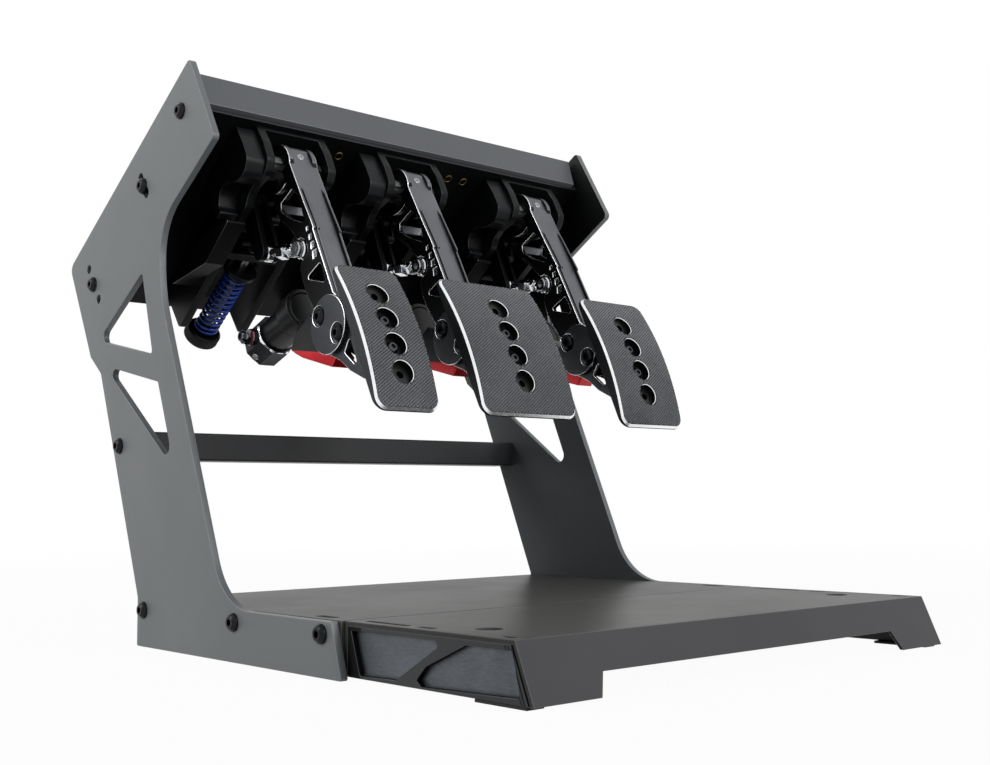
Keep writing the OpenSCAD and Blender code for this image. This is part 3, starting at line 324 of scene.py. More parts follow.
def finishPiece(name, mesh, body, finishNames, nodes=(), smoothBelow=32):
    # a mesh becomes a piece that rides on its body, in place of the CAD nodes named
    piece = bpy.data.objects.new(name, mesh)
    bpy.context.scene.collection.objects.link(piece)
    for finish in finishNames[len(mesh.materials):]:
        mesh.materials.append(finishes[finish])
    mesh.shade_smooth()
    mesh.set_sharp_from_angle(angle=math.radians(smoothBelow))
    # flat faces stay flat beside the rounded edges
    weights = piece.modifiers.new("weights", "WEIGHTED_NORMAL")
    weights.keep_sharp = True
    bpy.context.view_layer.update()
    piece.data = bpy.data.meshes.new_from_object(piece.evaluated_get(bpy.context.evaluated_depsgraph_get()))
    piece.modifiers.remove(weights)
    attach(piece, body)
    if nodes:
        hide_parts(*nodes)
    return piece


def meshFrom(name, bm):
    mesh = bpy.data.meshes.new(name)
    bm.normal_update()
    bm.to_mesh(mesh)
    bm.free()
    return mesh


# in metres: points of a CAD mesh nearer than merge are one, as are those of a turned part nearer than weld; cut,
# level and near are how close to a plane, a height or a place still counts as there. In degrees: the angles from
# which an edge is a fold, or is broken. A face looks a way when its normal has more than facing of it
dressing = {
    "merge": 3e-6, "weld": 1e-7, "cut": 1e-6, "level": 1e-5, "near": 1e-4, "foldFrom": 20, "foldSteps": 5,
    "edgeFrom": 36, "facing": 0.5,
}


def sharpEdges(bm, above, test=None):
    return [e for e in bm.edges if len(e.link_faces) == 2 and e.is_convex
            and e.calc_face_angle() > math.radians(above) and (test is None or test(e))]


def sliced(bm, point, normal, within):
    bmesh.ops.bisect_plane(bm, geom=bm.verts[:] + bm.edges[:] + bm.faces[:], dist=within, plane_co=point,
                           plane_no=normal)


def rounded(bm, edges, mm, steps, index):
    bmesh.ops.bevel(bm, geom=edges, offset=mm / 1000, segments=steps, profile=0.5, affect="EDGES",
                    clamp_overlap=False, material=index)


def dressed(node, finishNames, slotName, edgeMm, folds=None, foldMm=0.0, paint=None, edgePaint=None, cuts=None,
            flatBelow=0.7, smoothBelow=32, edgeSteps=1):
    # a CAD node's own shape with its edges broken, and its folds rounded where folds(edge) says so
    body = next(b for b, names in frame["record"]["behaviour"]["bodies"].items() if node in names)
    bm = bmesh.new()
    bm.from_mesh(frame["nodes"][node].data)
    bmesh.ops.remove_doubles(bm, verts=bm.verts, dist=dressing["merge"])
    for face in bm.faces:
        face.material_index = 0
    if flatBelow:
        bmesh.ops.dissolve_limit(bm, angle_limit=math.radians(flatBelow), verts=bm.verts, edges=bm.edges)
    for point, normal in cuts(bm) if cuts else []:
        sliced(bm, point, normal, dressing["cut"])
    if folds:
        rounded(bm, sharpEdges(bm, dressing["foldFrom"], folds), foldMm, dressing["foldSteps"], 0)
    rounded(bm, sharpEdges(bm, dressing["edgeFrom"]), edgeMm, edgeSteps, len(finishNames) > 1)
    if paint:
        for face in bm.faces:
            if face.material_index == 0:
                face.material_index = paint(face)
            elif edgePaint:
                face.material_index = edgePaint(face)
    bmesh.ops.triangulate(bm, faces=bm.faces, quad_method="BEAUTY", ngon_method="BEAUTY")
    finishPiece(node + "_piece", meshFrom(node, bm), body, finishNames, [node], smoothBelow)


def ringOf(bm, points):
    return [bm.verts.new(p) for p in points]


def bridge(bm, first, second, index):
    for i in range(len(first)):
        j = (i + 1) % len(first)
        bm.faces.new([first[i], first[j], second[j], second[i]]).material_index = index


def addTurned(bm, profile, matrix, index=0, steps=40, closed=False):
    # revolves (radius, height) points round the matrix's z axis; radii and heights in millimetres
    rings = []
    for radius, height in profile:
        turns = [2 * math.pi * k / steps for k in range(steps if radius else 1)]
        rings.append(ringOf(bm, [matrix @ Vector((
            radius / 1000 * math.cos(a), radius / 1000 * math.sin(a), height / 1000)) for a in turns]))
    for a, b in list(zip(rings, rings[1:])) + ([(rings[-1], rings[0])] if closed else []):
        if len(a) == len(b) == 1:
            continue
        for k in range(steps):
            j = (k + 1) % steps
            corners = [a[0]] if len(a) == 1 else [a[k], a[j]]
            corners += [b[0]] if len(b) == 1 else [b[j], b[k]]
            bm.faces.new(corners).material_index = index


def addPrism(bm, sides, radius, low, high, matrix, index=0, edgeIndex=0, edge=0.6, turn=0.0, hole=0.0):
    # a nut or collar: sides corners at the radius, with its ends chamfered round
    def loop(r, z, hexed):
        steps = sides * 6
        points = []
        for k in range(steps):
            a = 2 * math.pi * k / steps
            inner = math.cos(math.pi / sides) / math.cos((a % (2 * math.pi / sides)) - math.pi / sides)
            reach = min(radius * inner, r) if hexed else r
            points.append(matrix @ (Vector((reach * math.cos(a + turn), reach * math.sin(a + turn), z)) / 1000))
        return ringOf(bm, points)
    flat = radius * math.cos(math.pi / sides)
    inner = max(hole, 0.01)
    rings = [loop(inner, low, False), loop(flat - edge * 0.3, low, False), loop(radius, low + edge, True),
             loop(radius, high - edge, True), loop(flat - edge * 0.3, high, False), loop(inner, high, False)]
    for n, (a, b) in enumerate(zip(rings, rings[1:])):
        bridge(bm, a, b, edgeIndex if n in (1, 3) else index)
    bridge(bm, rings[-1], rings[0], index)


def solidPiece(name, bm, body, finishNames, nodes=(), smoothBelow=30):
    # turned parts share points and may be inside out before this
    bmesh.ops.remove_doubles(bm, verts=bm.verts, dist=dressing["weld"])
    bmesh.ops.recalc_face_normals(bm, faces=bm.faces)
    finishPiece(name, meshFrom(name, bm), body, finishNames, nodes, smoothBelow)


def turned(name, profile, matrix, body, finish, nodes=(), steps=40, closed=False, smoothBelow=30):
    bm = bmesh.new()
    addTurned(bm, profile, matrix, 0, steps, closed)
    solidPiece(name, bm, body, [finish], nodes, smoothBelow)


def newTree(name, sockets):
    # a geometry tree with named inputs, and these inputs by name
    tree = bpy.data.node_groups.new(name, "GeometryNodeTree")
    for label, kind in {"Geometry": "Geometry", **sockets, "Material": "Material"}.items():
        tree.interface.new_socket(name=label, in_out="INPUT", socket_type="NodeSocket" + kind)
    tree.interface.new_socket(name="Geometry", in_out="OUTPUT", socket_type="NodeSocketGeometry")
    return tree, {socket.name: socket for socket in add(tree, "NodeGroupInput").outputs}


def addTable(tree, known, kind, rows):
    # adds a node for each (name, operation, terms); a term given as text is an input or an earlier row
    for name, operation, *terms in rows:
        inputs = {i: known[term] if isinstance(term, str) else term for i, term in enumerate(terms)}
        known[name] = add(tree, kind, inputs, operation=operation)


def endTree(tree, known, geometry):
    real = add(tree, "GeometryNodeRealizeInstances", {"Geometry": geometry})
    coloured = add(tree, "GeometryNodeSetMaterial", {"Geometry": real, "Material": known["Material"]})
    add(tree, "NodeGroupOutput", {"Geometry": coloured})
    return tree


def grown(name, tree, sizes, finish, matrix, body, nodes=(), points=None, smoothBelow=32, plain=None):
    # runs the tree on the points (place, aim) and keeps its result as a plain mesh; sizes are in millimetres,
    # plain inputs are counts and angles
    start = bpy.data.meshes.new(name)
    if points:
        start.from_pydata([p for p, _ in points], [], [])
        aim = start.attributes.new("aim", "FLOAT_VECTOR", "POINT")
        aim.data.foreach_set("vector", [c for _, a in points for c in a])
    seed = bpy.data.objects.new(name + "Seed", start)
    bpy.context.scene.collection.objects.link(seed)
    modifier = seed.modifiers.new("nodes", "NODES")
    modifier.node_group = tree
    given = {**{key: mm / 1000 for key, mm in sizes.items()}, **(plain or {}), "Material": finishes[finish]}
    for item in tree.interface.items_tree:
        if item.in_out == "INPUT" and item.name in given:
            modifier[item.identifier] = given[item.name]
    bpy.context.view_layer.update()
    evaluated = seed.evaluated_get(bpy.context.evaluated_depsgraph_get())
    mesh = bpy.data.meshes.new_from_object(evaluated)
    seed.modifiers.remove(modifier)
    bpy.data.objects.remove(seed)
    mesh.transform(matrix)
    return finishPiece(name, mesh, body, [finish], nodes, smoothBelow)


# a head narrows towards its top by narrowing, along the given power of the height; socketShare is how deep the
# socket goes into it
screwShape = {"sides": 36, "levels": 7, "shankSides": 20, "narrowing": 0.6, "power": 2.2, "socketShare": 0.55}
# the rows cover spread times the pad's height, turned or not, and a pyramid's tip is a share of its foot
knurlShape = {"spread": 1.3, "tip": 0.4}
wireSides = 10


def screwTree():
    # a button head with a hexagon socket and its shank, at each point along its aim
    tree, known = newTree("buttonScrews", dict.fromkeys([
        "Head Radius", "Head Height", "Socket Radius", "Socket Depth", "Shank Radius", "Shank Length"], "Float"))
    where = add(tree, "ShaderNodeSeparateXYZ", {"Vector": add(tree, "GeometryNodeInputPosition")}).outputs
    known.update({"x": where["X"], "y": where["Y"], "z": where["Z"]})
    addTable(tree, known, "ShaderNodeMath", [
        ("half", "MULTIPLY", "Head Height", 0.5), ("share", "DIVIDE", "z", "Head Height"),
        ("curved", "POWER", "share", screwShape["power"]),
        ("rest", "MULTIPLY_ADD", "curved", -screwShape["narrowing"], 1.0), ("width", "SQRT", "rest"),
        ("domeX", "MULTIPLY", "x", "width"), ("domeY", "MULTIPLY", "y", "width"),
        ("depth", "MULTIPLY", "Socket Depth", 2.0), ("down", "MULTIPLY", "Shank Length", -0.5)])
    blank = add(tree, "GeometryNodeMeshCylinder", {
        "Vertices": screwShape["sides"], "Side Segments": screwShape["levels"], "Radius": known["Head Radius"],
        "Depth": known["Head Height"]})
    raised = add(tree, "GeometryNodeTransform", {
        "Geometry": blank, "Translation": add(tree, "ShaderNodeCombineXYZ", {"Z": known["half"]})})
    dome = add(tree, "GeometryNodeSetPosition", {"Geometry": raised, "Position": add(
        tree, "ShaderNodeCombineXYZ", {"X": known["domeX"], "Y": known["domeY"], "Z": known["z"]})})
    hexagon = add(tree, "GeometryNodeMeshCylinder", {
        "Vertices": 6, "Radius": known["Socket Radius"], "Depth": known["depth"]})
    atTop = add(tree, "GeometryNodeTransform", {
        "Geometry": hexagon, "Translation": add(tree, "ShaderNodeCombineXYZ", {"Z": known["Head Height"]})})
    headSolid = add(tree, "GeometryNodeMeshBoolean", {"Mesh 1": dome, "Mesh 2": atTop}, operation="DIFFERENCE")
    shank = add(tree, "GeometryNodeMeshCylinder", {
        "Vertices": screwShape["shankSides"], "Radius": known["Shank Radius"], "Depth": known["Shank Length"]})
    below = add(tree, "GeometryNodeTransform", {
        "Geometry": shank, "Translation": add(tree, "ShaderNodeCombineXYZ", {"Z": known["down"]})})
    screw = add(tree, "GeometryNodeJoinGeometry", {"Geometry": [headSolid, below]})
    aim = add(tree, "GeometryNodeInputNamedAttribute", {"Name": "aim"}, data_type="FLOAT_VECTOR")
    turn = add(tree, "FunctionNodeAlignRotationToVector", {"Vector": aim}, axis="Z")
    many = add(tree, "GeometryNodeInstanceOnPoints", {
        "Points": known["Geometry"], "Instance": screw, "Rotation": turn})
    return endTree(tree, known, many)


def knurlTree():
    # small pyramids in crossed rows over the pad's bowed face, clear of its rim and its holes; while the
    # rows are flat, x and y are the pad's width and height
    tree, known = newTree("padKnurl", dict.fromkeys([
        "Width", "Height", "Corner", "Margin", "Depth", "Face Radius", "Hole Pitch", "Hole Radius", "Pitch", "Stud",
        "Stud Height", "Lay"], "Float"))
    where = add(tree, "ShaderNodeSeparateXYZ", {"Vector": add(tree, "GeometryNodeInputPosition")}).outputs
    known.update({"x": where["X"], "y": where["Y"], "z": where["Z"]})
    addTable(tree, known, "ShaderNodeMath", [
        ("side", "MULTIPLY", "Height", knurlShape["spread"]), ("count", "DIVIDE", "side", "Pitch"),
        ("reachX", "MULTIPLY", "Width", 0.5), ("coreX", "SUBTRACT", "reachX", "Corner"),
        ("farX", "ABSOLUTE", "x"), ("pastX", "SUBTRACT", "farX", "coreX"), ("overX", "MAXIMUM", "pastX", 0.0),
        ("reachY", "MULTIPLY", "Height", 0.5), ("coreY", "SUBTRACT", "reachY", "Corner"),
        ("farY", "ABSOLUTE", "y"), ("pastY", "SUBTRACT", "farY", "coreY"), ("overY", "MAXIMUM", "pastY", 0.0),
        ("inner", "SUBTRACT", "Corner", "Margin"),
        # the nearest of the four holes
        ("steps", "DIVIDE", "y", "Hole Pitch"), ("cell", "FLOOR", "steps"), ("low", "MAXIMUM", "cell", -2.0),
        ("near", "MINIMUM", "low", 1.0), ("middle", "ADD", "near", 0.5), ("hole", "MULTIPLY", "middle", "Hole Pitch"),
        ("fromHole", "SUBTRACT", "y", "hole"),
        # the bow of the face
        ("ratio", "DIVIDE", "y", "Face Radius"), ("angle", "ARCSINE", "ratio"), ("level", "COSINE", "angle"),
        ("drop", "SUBTRACT", 1.0, "level"), ("bow", "MULTIPLY", "drop", "Face Radius"),
        ("front", "SUBTRACT", "bow", "Depth"),
        ("tipRadius", "MULTIPLY", "Stud", knurlShape["tip"]), ("corners", "ADD", "Lay", math.pi / 4),
        ("part", "DIVIDE", "z", "Face Radius"), ("tip", "ARCSINE", "part"),
        ("facing", "SUBTRACT", math.pi / 2, "tip")])
    grid = add(tree, "GeometryNodeMeshGrid", {
        "Size X": known["side"], "Size Y": known["side"], "Vertices X": known["count"], "Vertices Y": known["count"]})
    laid = add(tree, "GeometryNodeTransform", {
        "Geometry": grid, "Rotation": add(tree, "ShaderNodeCombineXYZ", {"Z": known["Lay"]})})
    off = []
    for x, y, limit, side in (
            ("overX", "overY", "inner", "GREATER_THAN"), ("x", "fromHole", "Hole Radius", "LESS_THAN")):
        way = add(tree, "ShaderNodeVectorMath", {
            0: add(tree, "ShaderNodeCombineXYZ", {"X": known[x], "Y": known[y]})}, operation="LENGTH")
        off.append(add(tree, "FunctionNodeCompare", {0: way.outputs["Value"], 1: known[limit]},
                       data_type="FLOAT", operation=side))
    unwanted = add(tree, "FunctionNodeBooleanMath", {0: off[0], 1: off[1]}, operation="OR")
    kept = add(tree, "GeometryNodeDeleteGeometry", {"Geometry": laid, "Selection": unwanted}, domain="POINT")
    bowed = add(tree, "GeometryNodeSetPosition", {"Geometry": kept, "Position": add(
        tree, "ShaderNodeCombineXYZ", {"X": known["x"], "Y": known["front"], "Z": known["y"]})})
    stud = add(tree, "GeometryNodeMeshCone", {
        "Vertices": 4, "Radius Bottom": known["Stud"], "Radius Top": known["tipRadius"],
        "Depth": known["Stud Height"]})
    squared = add(tree, "GeometryNodeTransform", {
        "Geometry": stud, "Rotation": add(tree, "ShaderNodeCombineXYZ", {"Z": known["corners"]})})
    many = add(tree, "GeometryNodeInstanceOnPoints", {
        "Points": bowed, "Instance": squared, "Rotation": add(tree, "ShaderNodeCombineXYZ", {"X": known["facing"]})})
    return endTree(tree, known, many)


def coilTree():
    # one wire wound from z = 0 up, its first and last turns laid closer
    tree, known = newTree("woundWire", dict.fromkeys([
        "Turns", "Coil Radius", "Wire Radius", "Length", "End Pitch", "Steps"], "Float"))
    known["index"] = add(tree, "GeometryNodeInputIndex")
    addTable(tree, known, "ShaderNodeMath", [
        ("total", "MULTIPLY", "Turns", "Steps"), ("last", "SUBTRACT", "total", 1.0),
        ("share", "DIVIDE", "index", "last"), ("turn", "MULTIPLY", "share", "Turns"),
        ("angle", "MULTIPLY", "turn", 2 * math.pi),
        ("slow", "MULTIPLY_ADD", "turn", "End Pitch", "Wire Radius"),
        ("half", "MULTIPLY", "Length", 0.5), ("rise", "SUBTRACT", "half", "Wire Radius"),
        ("free", "SUBTRACT", "rise", "End Pitch"), ("halfTurns", "MULTIPLY", "Turns", 0.5),
        ("openTurns", "SUBTRACT", "halfTurns", 1.0), ("pitch", "DIVIDE", "free", "openTurns"),
        ("fromMiddle", "SUBTRACT", "turn", "halfTurns"), ("quick", "MULTIPLY_ADD", "fromMiddle", "pitch", "half"),
        ("left", "SUBTRACT", "turn", "Turns"), ("topLine", "SUBTRACT", "Length", "Wire Radius"),
        ("ending", "MULTIPLY_ADD", "left", "End Pitch", "topLine"),
        ("lower", "MAXIMUM", "slow", "quick"), ("z", "MINIMUM", "lower", "ending"),
        ("cosine", "COSINE", "angle"), ("x", "MULTIPLY", "cosine", "Coil Radius"),
        ("sine", "SINE", "angle"), ("y", "MULTIPLY", "sine", "Coil Radius")])
    line = add(tree, "GeometryNodeMeshLine", {"Count": known["total"], "Offset": (0, 0, 0.001)}, mode="OFFSET")
    path = add(tree, "GeometryNodeSetPosition", {"Geometry": line, "Position": add(
        tree, "ShaderNodeCombineXYZ", {"X": known["x"], "Y": known["y"], "Z": known["z"]})})
    curve = add(tree, "GeometryNodeMeshToCurve", {"Mesh": path})
    section = add(tree, "GeometryNodeCurvePrimitiveCircle", {
        "Resolution": wireSides, "Radius": known["Wire Radius"]})
    tube = add(tree, "GeometryNodeCurveToMesh", {"Curve": curve, "Profile Curve": section, "Fill Caps": True})
    return endTree(tree, known, tube)


def ribTree():
    # straight ribs round a knob's rim, along z
    tree, known = newTree("rimRibs", {"Count": "Int", "Rim Radius": "Float", "Rib": "Float", "Length": "Float"})
    ring = add(tree, "GeometryNodeMeshCircle", {"Vertices": known["Count"], "Radius": known["Rim Radius"]})
    bar = add(tree, "GeometryNodeMeshCone", {
        "Vertices": 4, "Radius Bottom": known["Rib"], "Radius Top": known["Rib"], "Depth": known["Length"]})
    addTable(tree, known, "ShaderNodeMath", [("lift", "MULTIPLY", "Length", -0.5)])
    centred = add(tree, "GeometryNodeTransform", {
        "Geometry": bar, "Translation": add(tree, "ShaderNodeCombineXYZ", {"Z": known["lift"]})})
    where = add(tree, "GeometryNodeInputPosition")
    turn = add(tree, "FunctionNodeAlignRotationToVector", {"Vector": where}, axis="X")
    many = add(tree, "GeometryNodeInstanceOnPoints", {"Points": ring, "Instance": centred, "Rotation": turn})
    return endTree(tree, known, many)


trees = {"screw": screwTree(), "knurl": knurlTree(), "coil": coilTree(), "rib": ribTree()}
print("node trees built:", ", ".join(sorted(trees)))


def screws(name, places, body, finish, size, nodes=(), matrix=None):
    # one screw at each (place, aim); sizes in millimetres, head, socket and shank as radii
    sizes = {
        "Head Radius": size["head"], "Head Height": size["height"], "Socket Radius": size["socket"],
        "Socket Depth": size["height"] * screwShape["socketShare"], "Shank Radius": size["shank"],
        "Shank Length": size["length"]}
    points = [(tuple(c / 1000 for c in place), aim) for place, aim in places]
    grown(name, trees["screw"], sizes, finish, matrix or Matrix(), body, nodes, points)


# edges and folds in millimetres; tray bends lie above bendHeight, the bar's folds are longer than longEdge
stand = {
    "plateEdge": 0.5, "trayEdge": 0.35, "rearTrayEdge": 0.4, "rearTrayFold": 1.6, "capEdge": 0.35, "capSmooth": 12,
    "feetEdge": 0.4, "barEdge": 0.35, "barFold": 2.2, "deckEdge": 0.4, "hoodEdge": 0.35,
    "bendHeight": 38.5, "longEdge": 300.0,
}


def insidePaint(face):
    # the side of a plate that looks at the stand's middle; it gets the painted shade
    outward = face.normal.x * math.copysign(1, face.calc_center_median().x)
    return 2 if outward < -dressing["facing"] else 0


# the plates' inner sides get the painted shade
for plate in ("left_side_plate", "right_side_plate"):
    dressed(plate, ["platePaint", "plateEdge", "plateInsidePaintedShade"], "plate_paint", stand["plateEdge"], paint=insidePaint)


def topFold(edge):
    # the long bends of a tray, at its outer top
    a, b = (v.co for v in edge.verts)
    return abs(a.z - b.z) < dressing["level"] and min(a.z, b.z) > stand["bendHeight"] / 1000


def longFold(edge):
    a, b = (v.co for v in edge.verts)
    return abs(a.x - b.x) > stand["longEdge"] / 1000


dressed("rear_base_tray", ["trayPaint", "trayEdge"], "tray_paint", stand["rearTrayEdge"], topFold,
        stand["rearTrayFold"])
# the front-facing lip gets the lighter coat as painted light
dressed("front_base_tray", ["trayPaint", "trayEdge", "lipPaintedLight"], "tray_paint", stand["trayEdge"],
        paint=lambda face: 2 if face.normal.y < -dressing["facing"] else 0)
# a cap's plain end beside the side plate, its two grooves along the slanted front, its pockets' depth and the
# margin round them, and how near a pocket's floor is on it, in millimetres; flat is the share of a face's normal
# along x from which it is no wall
# the plain end and the two grooves are painted near black as painted shade, as are the pockets' walls
capShape = {
    "plainTo": -52.5, "grooves": [(1.8, 2.9), (4.3, 5.2)], "pocket": 4.0, "margin": 1.0, "near": 0.2, "flat": 0.9}


def capFront(bm):
    # the slanted front: its middle and the way it faces
    face = max((f for f in bm.faces if f.normal.y < -dressing["facing"]), key=lambda f: f.calc_area())
    return face.calc_center_median(), face.normal.copy()


for cap in ("left_base_cap", "right_base_cap"):
    low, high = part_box(cap)
    pocketX = low.x + capShape["pocket"] / 1000 if cap.startswith("left") else high.x - capShape["pocket"] / 1000
    plainY = (capShape["plainTo"] + drawing["shiftY"]) / 1000
    slant = {}

    def capCuts(bm):
        slant["place"], slant["normal"] = capFront(bm)
        lines = [(slant["place"] - slant["normal"] * mm / 1000, slant["normal"])
                 for pair in capShape["grooves"] for mm in pair]
        return [((0, plainY, 0), (0, 1, 0))] + lines

    def capPaint(face):
        at = face.calc_center_median()
        if abs(face.normal.x) < capShape["flat"]:
            # painted shade: the pockets' walls are painted dark, the cap's own outline is not
            margin = capShape["margin"] / 1000
            walled = low.y + 4 * margin < at.y < high.y - margin and low.z + margin < at.z < high.z - margin
            return 3 if walled and abs((at - slant["place"]).dot(slant["normal"])) > margin else 0
        if abs(at.x - pocketX) * 1000 < capShape["near"]:
            return 2
        # painted shade on the plain end beside the plate and in the two grooves
        behind = (slant["place"] - at).dot(slant["normal"]) * 1000
        return 3 if at.y > plainY or any(a < behind < b for a, b in capShape["grooves"]) else 0

    dressed(cap, ["capPaint", "trayEdge", "capPocket", "capShade"], "cap_plastic", stand["capEdge"], paint=capPaint,
            cuts=capCuts, smoothBelow=stand["capSmooth"])
dressed("rubber_feet", ["rubber"], "rubber", stand["feetEdge"])
dressed("rear_bar", ["barPaint", "plateEdge"], "plate_paint", stand["barEdge"], longFold, stand["barFold"])
# the deck's downward faces get painted shade
dressed("deck", ["deckPaint", "unitEdge", "deckShade"], "unit_black", stand["deckEdge"],
        paint=lambda face: 2 if face.normal.z < -dressing["facing"] else 0)
dressed("hood", ["hoodPaint", "plateEdge"], "plate_paint", stand["hoodEdge"])

# deck screws by their places along its slope, the others as (y, z)
standScrews = {
    "deck": [11.1, 96.1, 219.7], "drop": -8.0, "bar": (301.1, 169.9),
    "foot": [(249.4, 30.4), (100.0, 29.8), (-17.8, 29.7)],
    "head": 7.0, "height": 4.2, "socket": 2.9, "shank": 4.0, "length": 9.0,
}
sidePoints = [onDeck(u, standScrews["drop"]) for u in standScrews["deck"]]
sidePoints += standScrews["foot"] + [standScrews["bar"]]
screwPlaces = [((side * drawing["halfWidth"], y + drawing["shiftY"], z), (side, 0, 0))
               for side in (-1, 1) for y, z in sidePoints]
screws("stand_screw_heads", screwPlaces, "stand", "blackScrew", standScrews, ["stand_screws"])

# small screws in brass rings on the deck's underside
brassRings = {
    "x": [-71.5, 58.0, 77.0], "u": 17.4, "outer": 4.3, "inner": 3.2, "height": 0.9, "edge": 0.3, "sunk": 0.2}
ringScrew = {"head": 3.0, "height": 0.6, "socket": 1.5, "shank": 1.2, "length": 1.4}
outer, inner, height, edge = (brassRings[key] for key in ("outer", "inner", "height", "edge"))
ringProfile = [(inner, -1), (outer, -1), (outer, height - edge), (outer - edge, height), (inner + edge, height),
               (inner, height - edge)]
bm = bmesh.new()
for x in brassRings["x"]:
    under = deckFrame(x) @ moved(0, brassRings["u"], 0) @ Matrix.Rotation(math.pi, 4, "X")
    addTurned(bm, ringProfile, under, 0, 40, closed=True)
solidPiece("deck_screw_rings", bm, "stand", ["ringBrass"])
ringPlaces = [(tuple((deckFrame(x) @ moved(0, brassRings["u"], -brassRings["sunk"])).translation * 1000),
               tuple(deckFrame(0).to_3x3() @ Vector((0, 0, -1)))) for x in brassRings["x"]]
screws("deck_screw_heads", ringPlaces, "stand", "blackScrew", ringScrew)
print("stand finished")


padShape = {
    "height": 134.0, "depth": 12.5, "faceRadius": 260.0, "corner": 10.0, "rim": 1.7, "backRim": 0.5, "floor": 5.0,
    "holeRadius": 9.7, "holeRim": 0.45, "holePitch": 24.3, "boltRadius": 3.3, "slice": 4.0,
    "knurlPitch": 2.0, "stud": 1.15, "studHeight": 0.5, "margin": 2.3, "clear": 1.3, "lay": 35.0,
    "frontBand": 0.5, "cornerSteps": 8,
}


def roundedBox(width, height, corner, inset):
    points = []
    for sx, sz, start in ((1, 1, 0), (-1, 1, 90), (-1, -1, 180), (1, -1, 270)):
        for step in range(padShape["cornerSteps"] + 1):
            a = math.radians(start + step * 90 / padShape["cornerSteps"])
            r = corner - inset
            points.append((sx * (width / 2 - corner) + r * math.cos(a), sz * (height / 2 - corner) + r * math.sin(a)))
    return points


def circlePoints(radius, centreZ, steps=40):
    return [(radius * math.cos(2 * math.pi * k / steps), centreZ + radius * math.sin(2 * math.pi * k / steps))
            for k in range(steps)]


def makePad(name, unit):
    shape, bm = padShape, bmesh.new()

    def loop(points, y):
        return ringOf(bm, [Vector((px, y, pz)) for px, pz in points])

    def edgesOf(ring):
        pairs = list(zip(ring, ring[1:] + ring[:1]))
        return [bm.edges.get(pair) or bm.edges.new(pair) for pair in pairs]

    def outer(inset):
        return roundedBox(unit["padWidth"], shape["height"], shape["corner"], inset)

    depth, rim, hole = shape["depth"], shape["rim"], shape["holeRadius"]
    rings = [loop(outer(rim), -depth), loop(outer(0), -depth + rim), loop(outer(0), -shape["backRim"]),
             loop(outer(shape["backRim"]), 0)]
    for n, index in enumerate((1, 0, 0)):
        bridge(bm, rings[n], rings[n + 1], index)
    frontEdges, backEdges = edgesOf(rings[0]), edgesOf(rings[-1])
    for k in (-1.5, -0.5, 0.5, 1.5):
        z = k * shape["holePitch"]
        walls = [loop(circlePoints(hole + shape["holeRim"], z), -depth),
                 loop(circlePoints(hole, z), -depth + shape["holeRim"]),
                 loop(circlePoints(hole, z), -shape["floor"]),
                 loop(circlePoints(shape["boltRadius"], z), -shape["floor"]),
                 loop(circlePoints(shape["boltRadius"], z), 0)]
        # the holes' walls get the third finish, painted shade
        for n, index in enumerate((1, 2, 2, 2)):
            bridge(bm, walls[n], walls[n + 1], index)
        frontEdges += edgesOf(walls[0])
        backEdges += edgesOf(walls[-1])
    bmesh.ops.triangle_fill(bm, use_beauty=True, edges=frontEdges)
    bmesh.ops.triangle_fill(bm, use_beauty=True, edges=backEdges)
    cuts = int(shape["height"] / 2 / shape["slice"])
    for k in range(-cuts, cuts + 1):
        sliced(bm, (0, 0, k * shape["slice"]), (0, 0, 1), dressing["near"])
    bowRadius = shape["faceRadius"]
    for v in bm.verts:
        if v.co.y < -shape["floor"] - shape["frontBand"]:
            v.co.y += bowRadius - math.sqrt(bowRadius ** 2 - v.co.z ** 2)
    bmesh.ops.recalc_face_normals(bm, faces=bm.faces)
    bmesh.ops.scale(bm, vec=(0.001, 0.001, 0.001), verts=bm.verts)
    mesh = meshFrom(name + "_pad", bm)
    base = padFrame(unit)
    mesh.transform(base)
    finishPiece(name + "_pad_plate", mesh, name + "_pedal", ["padGrey", "brightEdge", "padHoleShade"],
                [name + "_pad"], 30)
    sizes = {
        "Width": unit["padWidth"], "Height": shape["height"], "Corner": shape["corner"], "Margin": shape["margin"],
        "Depth": shape["depth"], "Face Radius": bowRadius, "Hole Pitch": shape["holePitch"],
        "Hole Radius": hole + shape["clear"], "Pitch": shape["knurlPitch"], "Stud": shape["stud"],
        "Stud Height": shape["studHeight"]}
    grown(name + "_pad_knurl", trees["knurl"], sizes, "padStud", base, name + "_pedal", smoothBelow=10,
          plain={"Lay": math.radians(shape["lay"])})


# (radius, place along the link); an eye's ring is given from its faces inwards, and the rear eye has the play of
# the linkage's open pivot round the rocker's pin
linkShape = {
    "middle": -12.0, "eyeWidth": 8.0, "frontBore": 4.1, "rearBore": 4.55, "ballWall": 0.5,
    "eyeRing": [(5.9, 0.5), (6.3, 0.2), (7.2, 0.2), (8.0, 1.2)], "ball": [(5.35, -2.4), (5.75, 0), (5.35, 2.4)],
    "frontShank": [(0, 6.6), (3.4, 6.6), (3.9, 8.5), (3.9, 12.5), (3.3, 13.2), (3.3, 26), (0, 26)],
    "rearShank": [(0, 35.5), (5.2, 35.5), (5.4, 38), (4.2, 41), (3.9, 44)], "rearEnd": (3.6, 6.6),
    "nut": {"sides": 6, "radius": 6.5, "low": 14.0, "high": 19.0, "edge": 0.9},
    "sleeve": {"sides": 6, "radius": 7.0, "low": 24.0, "high": 36.0, "edge": 1.0, "turn": 0.3}, "threadFrom": 19,
    "thread": {"Coil Radius": 3.3, "Wire Radius": 0.4, "Length": 5.0, "End Pitch": 1.15},
    "threadTurns": {"Turns": 4.0, "Steps": 24.0},
}


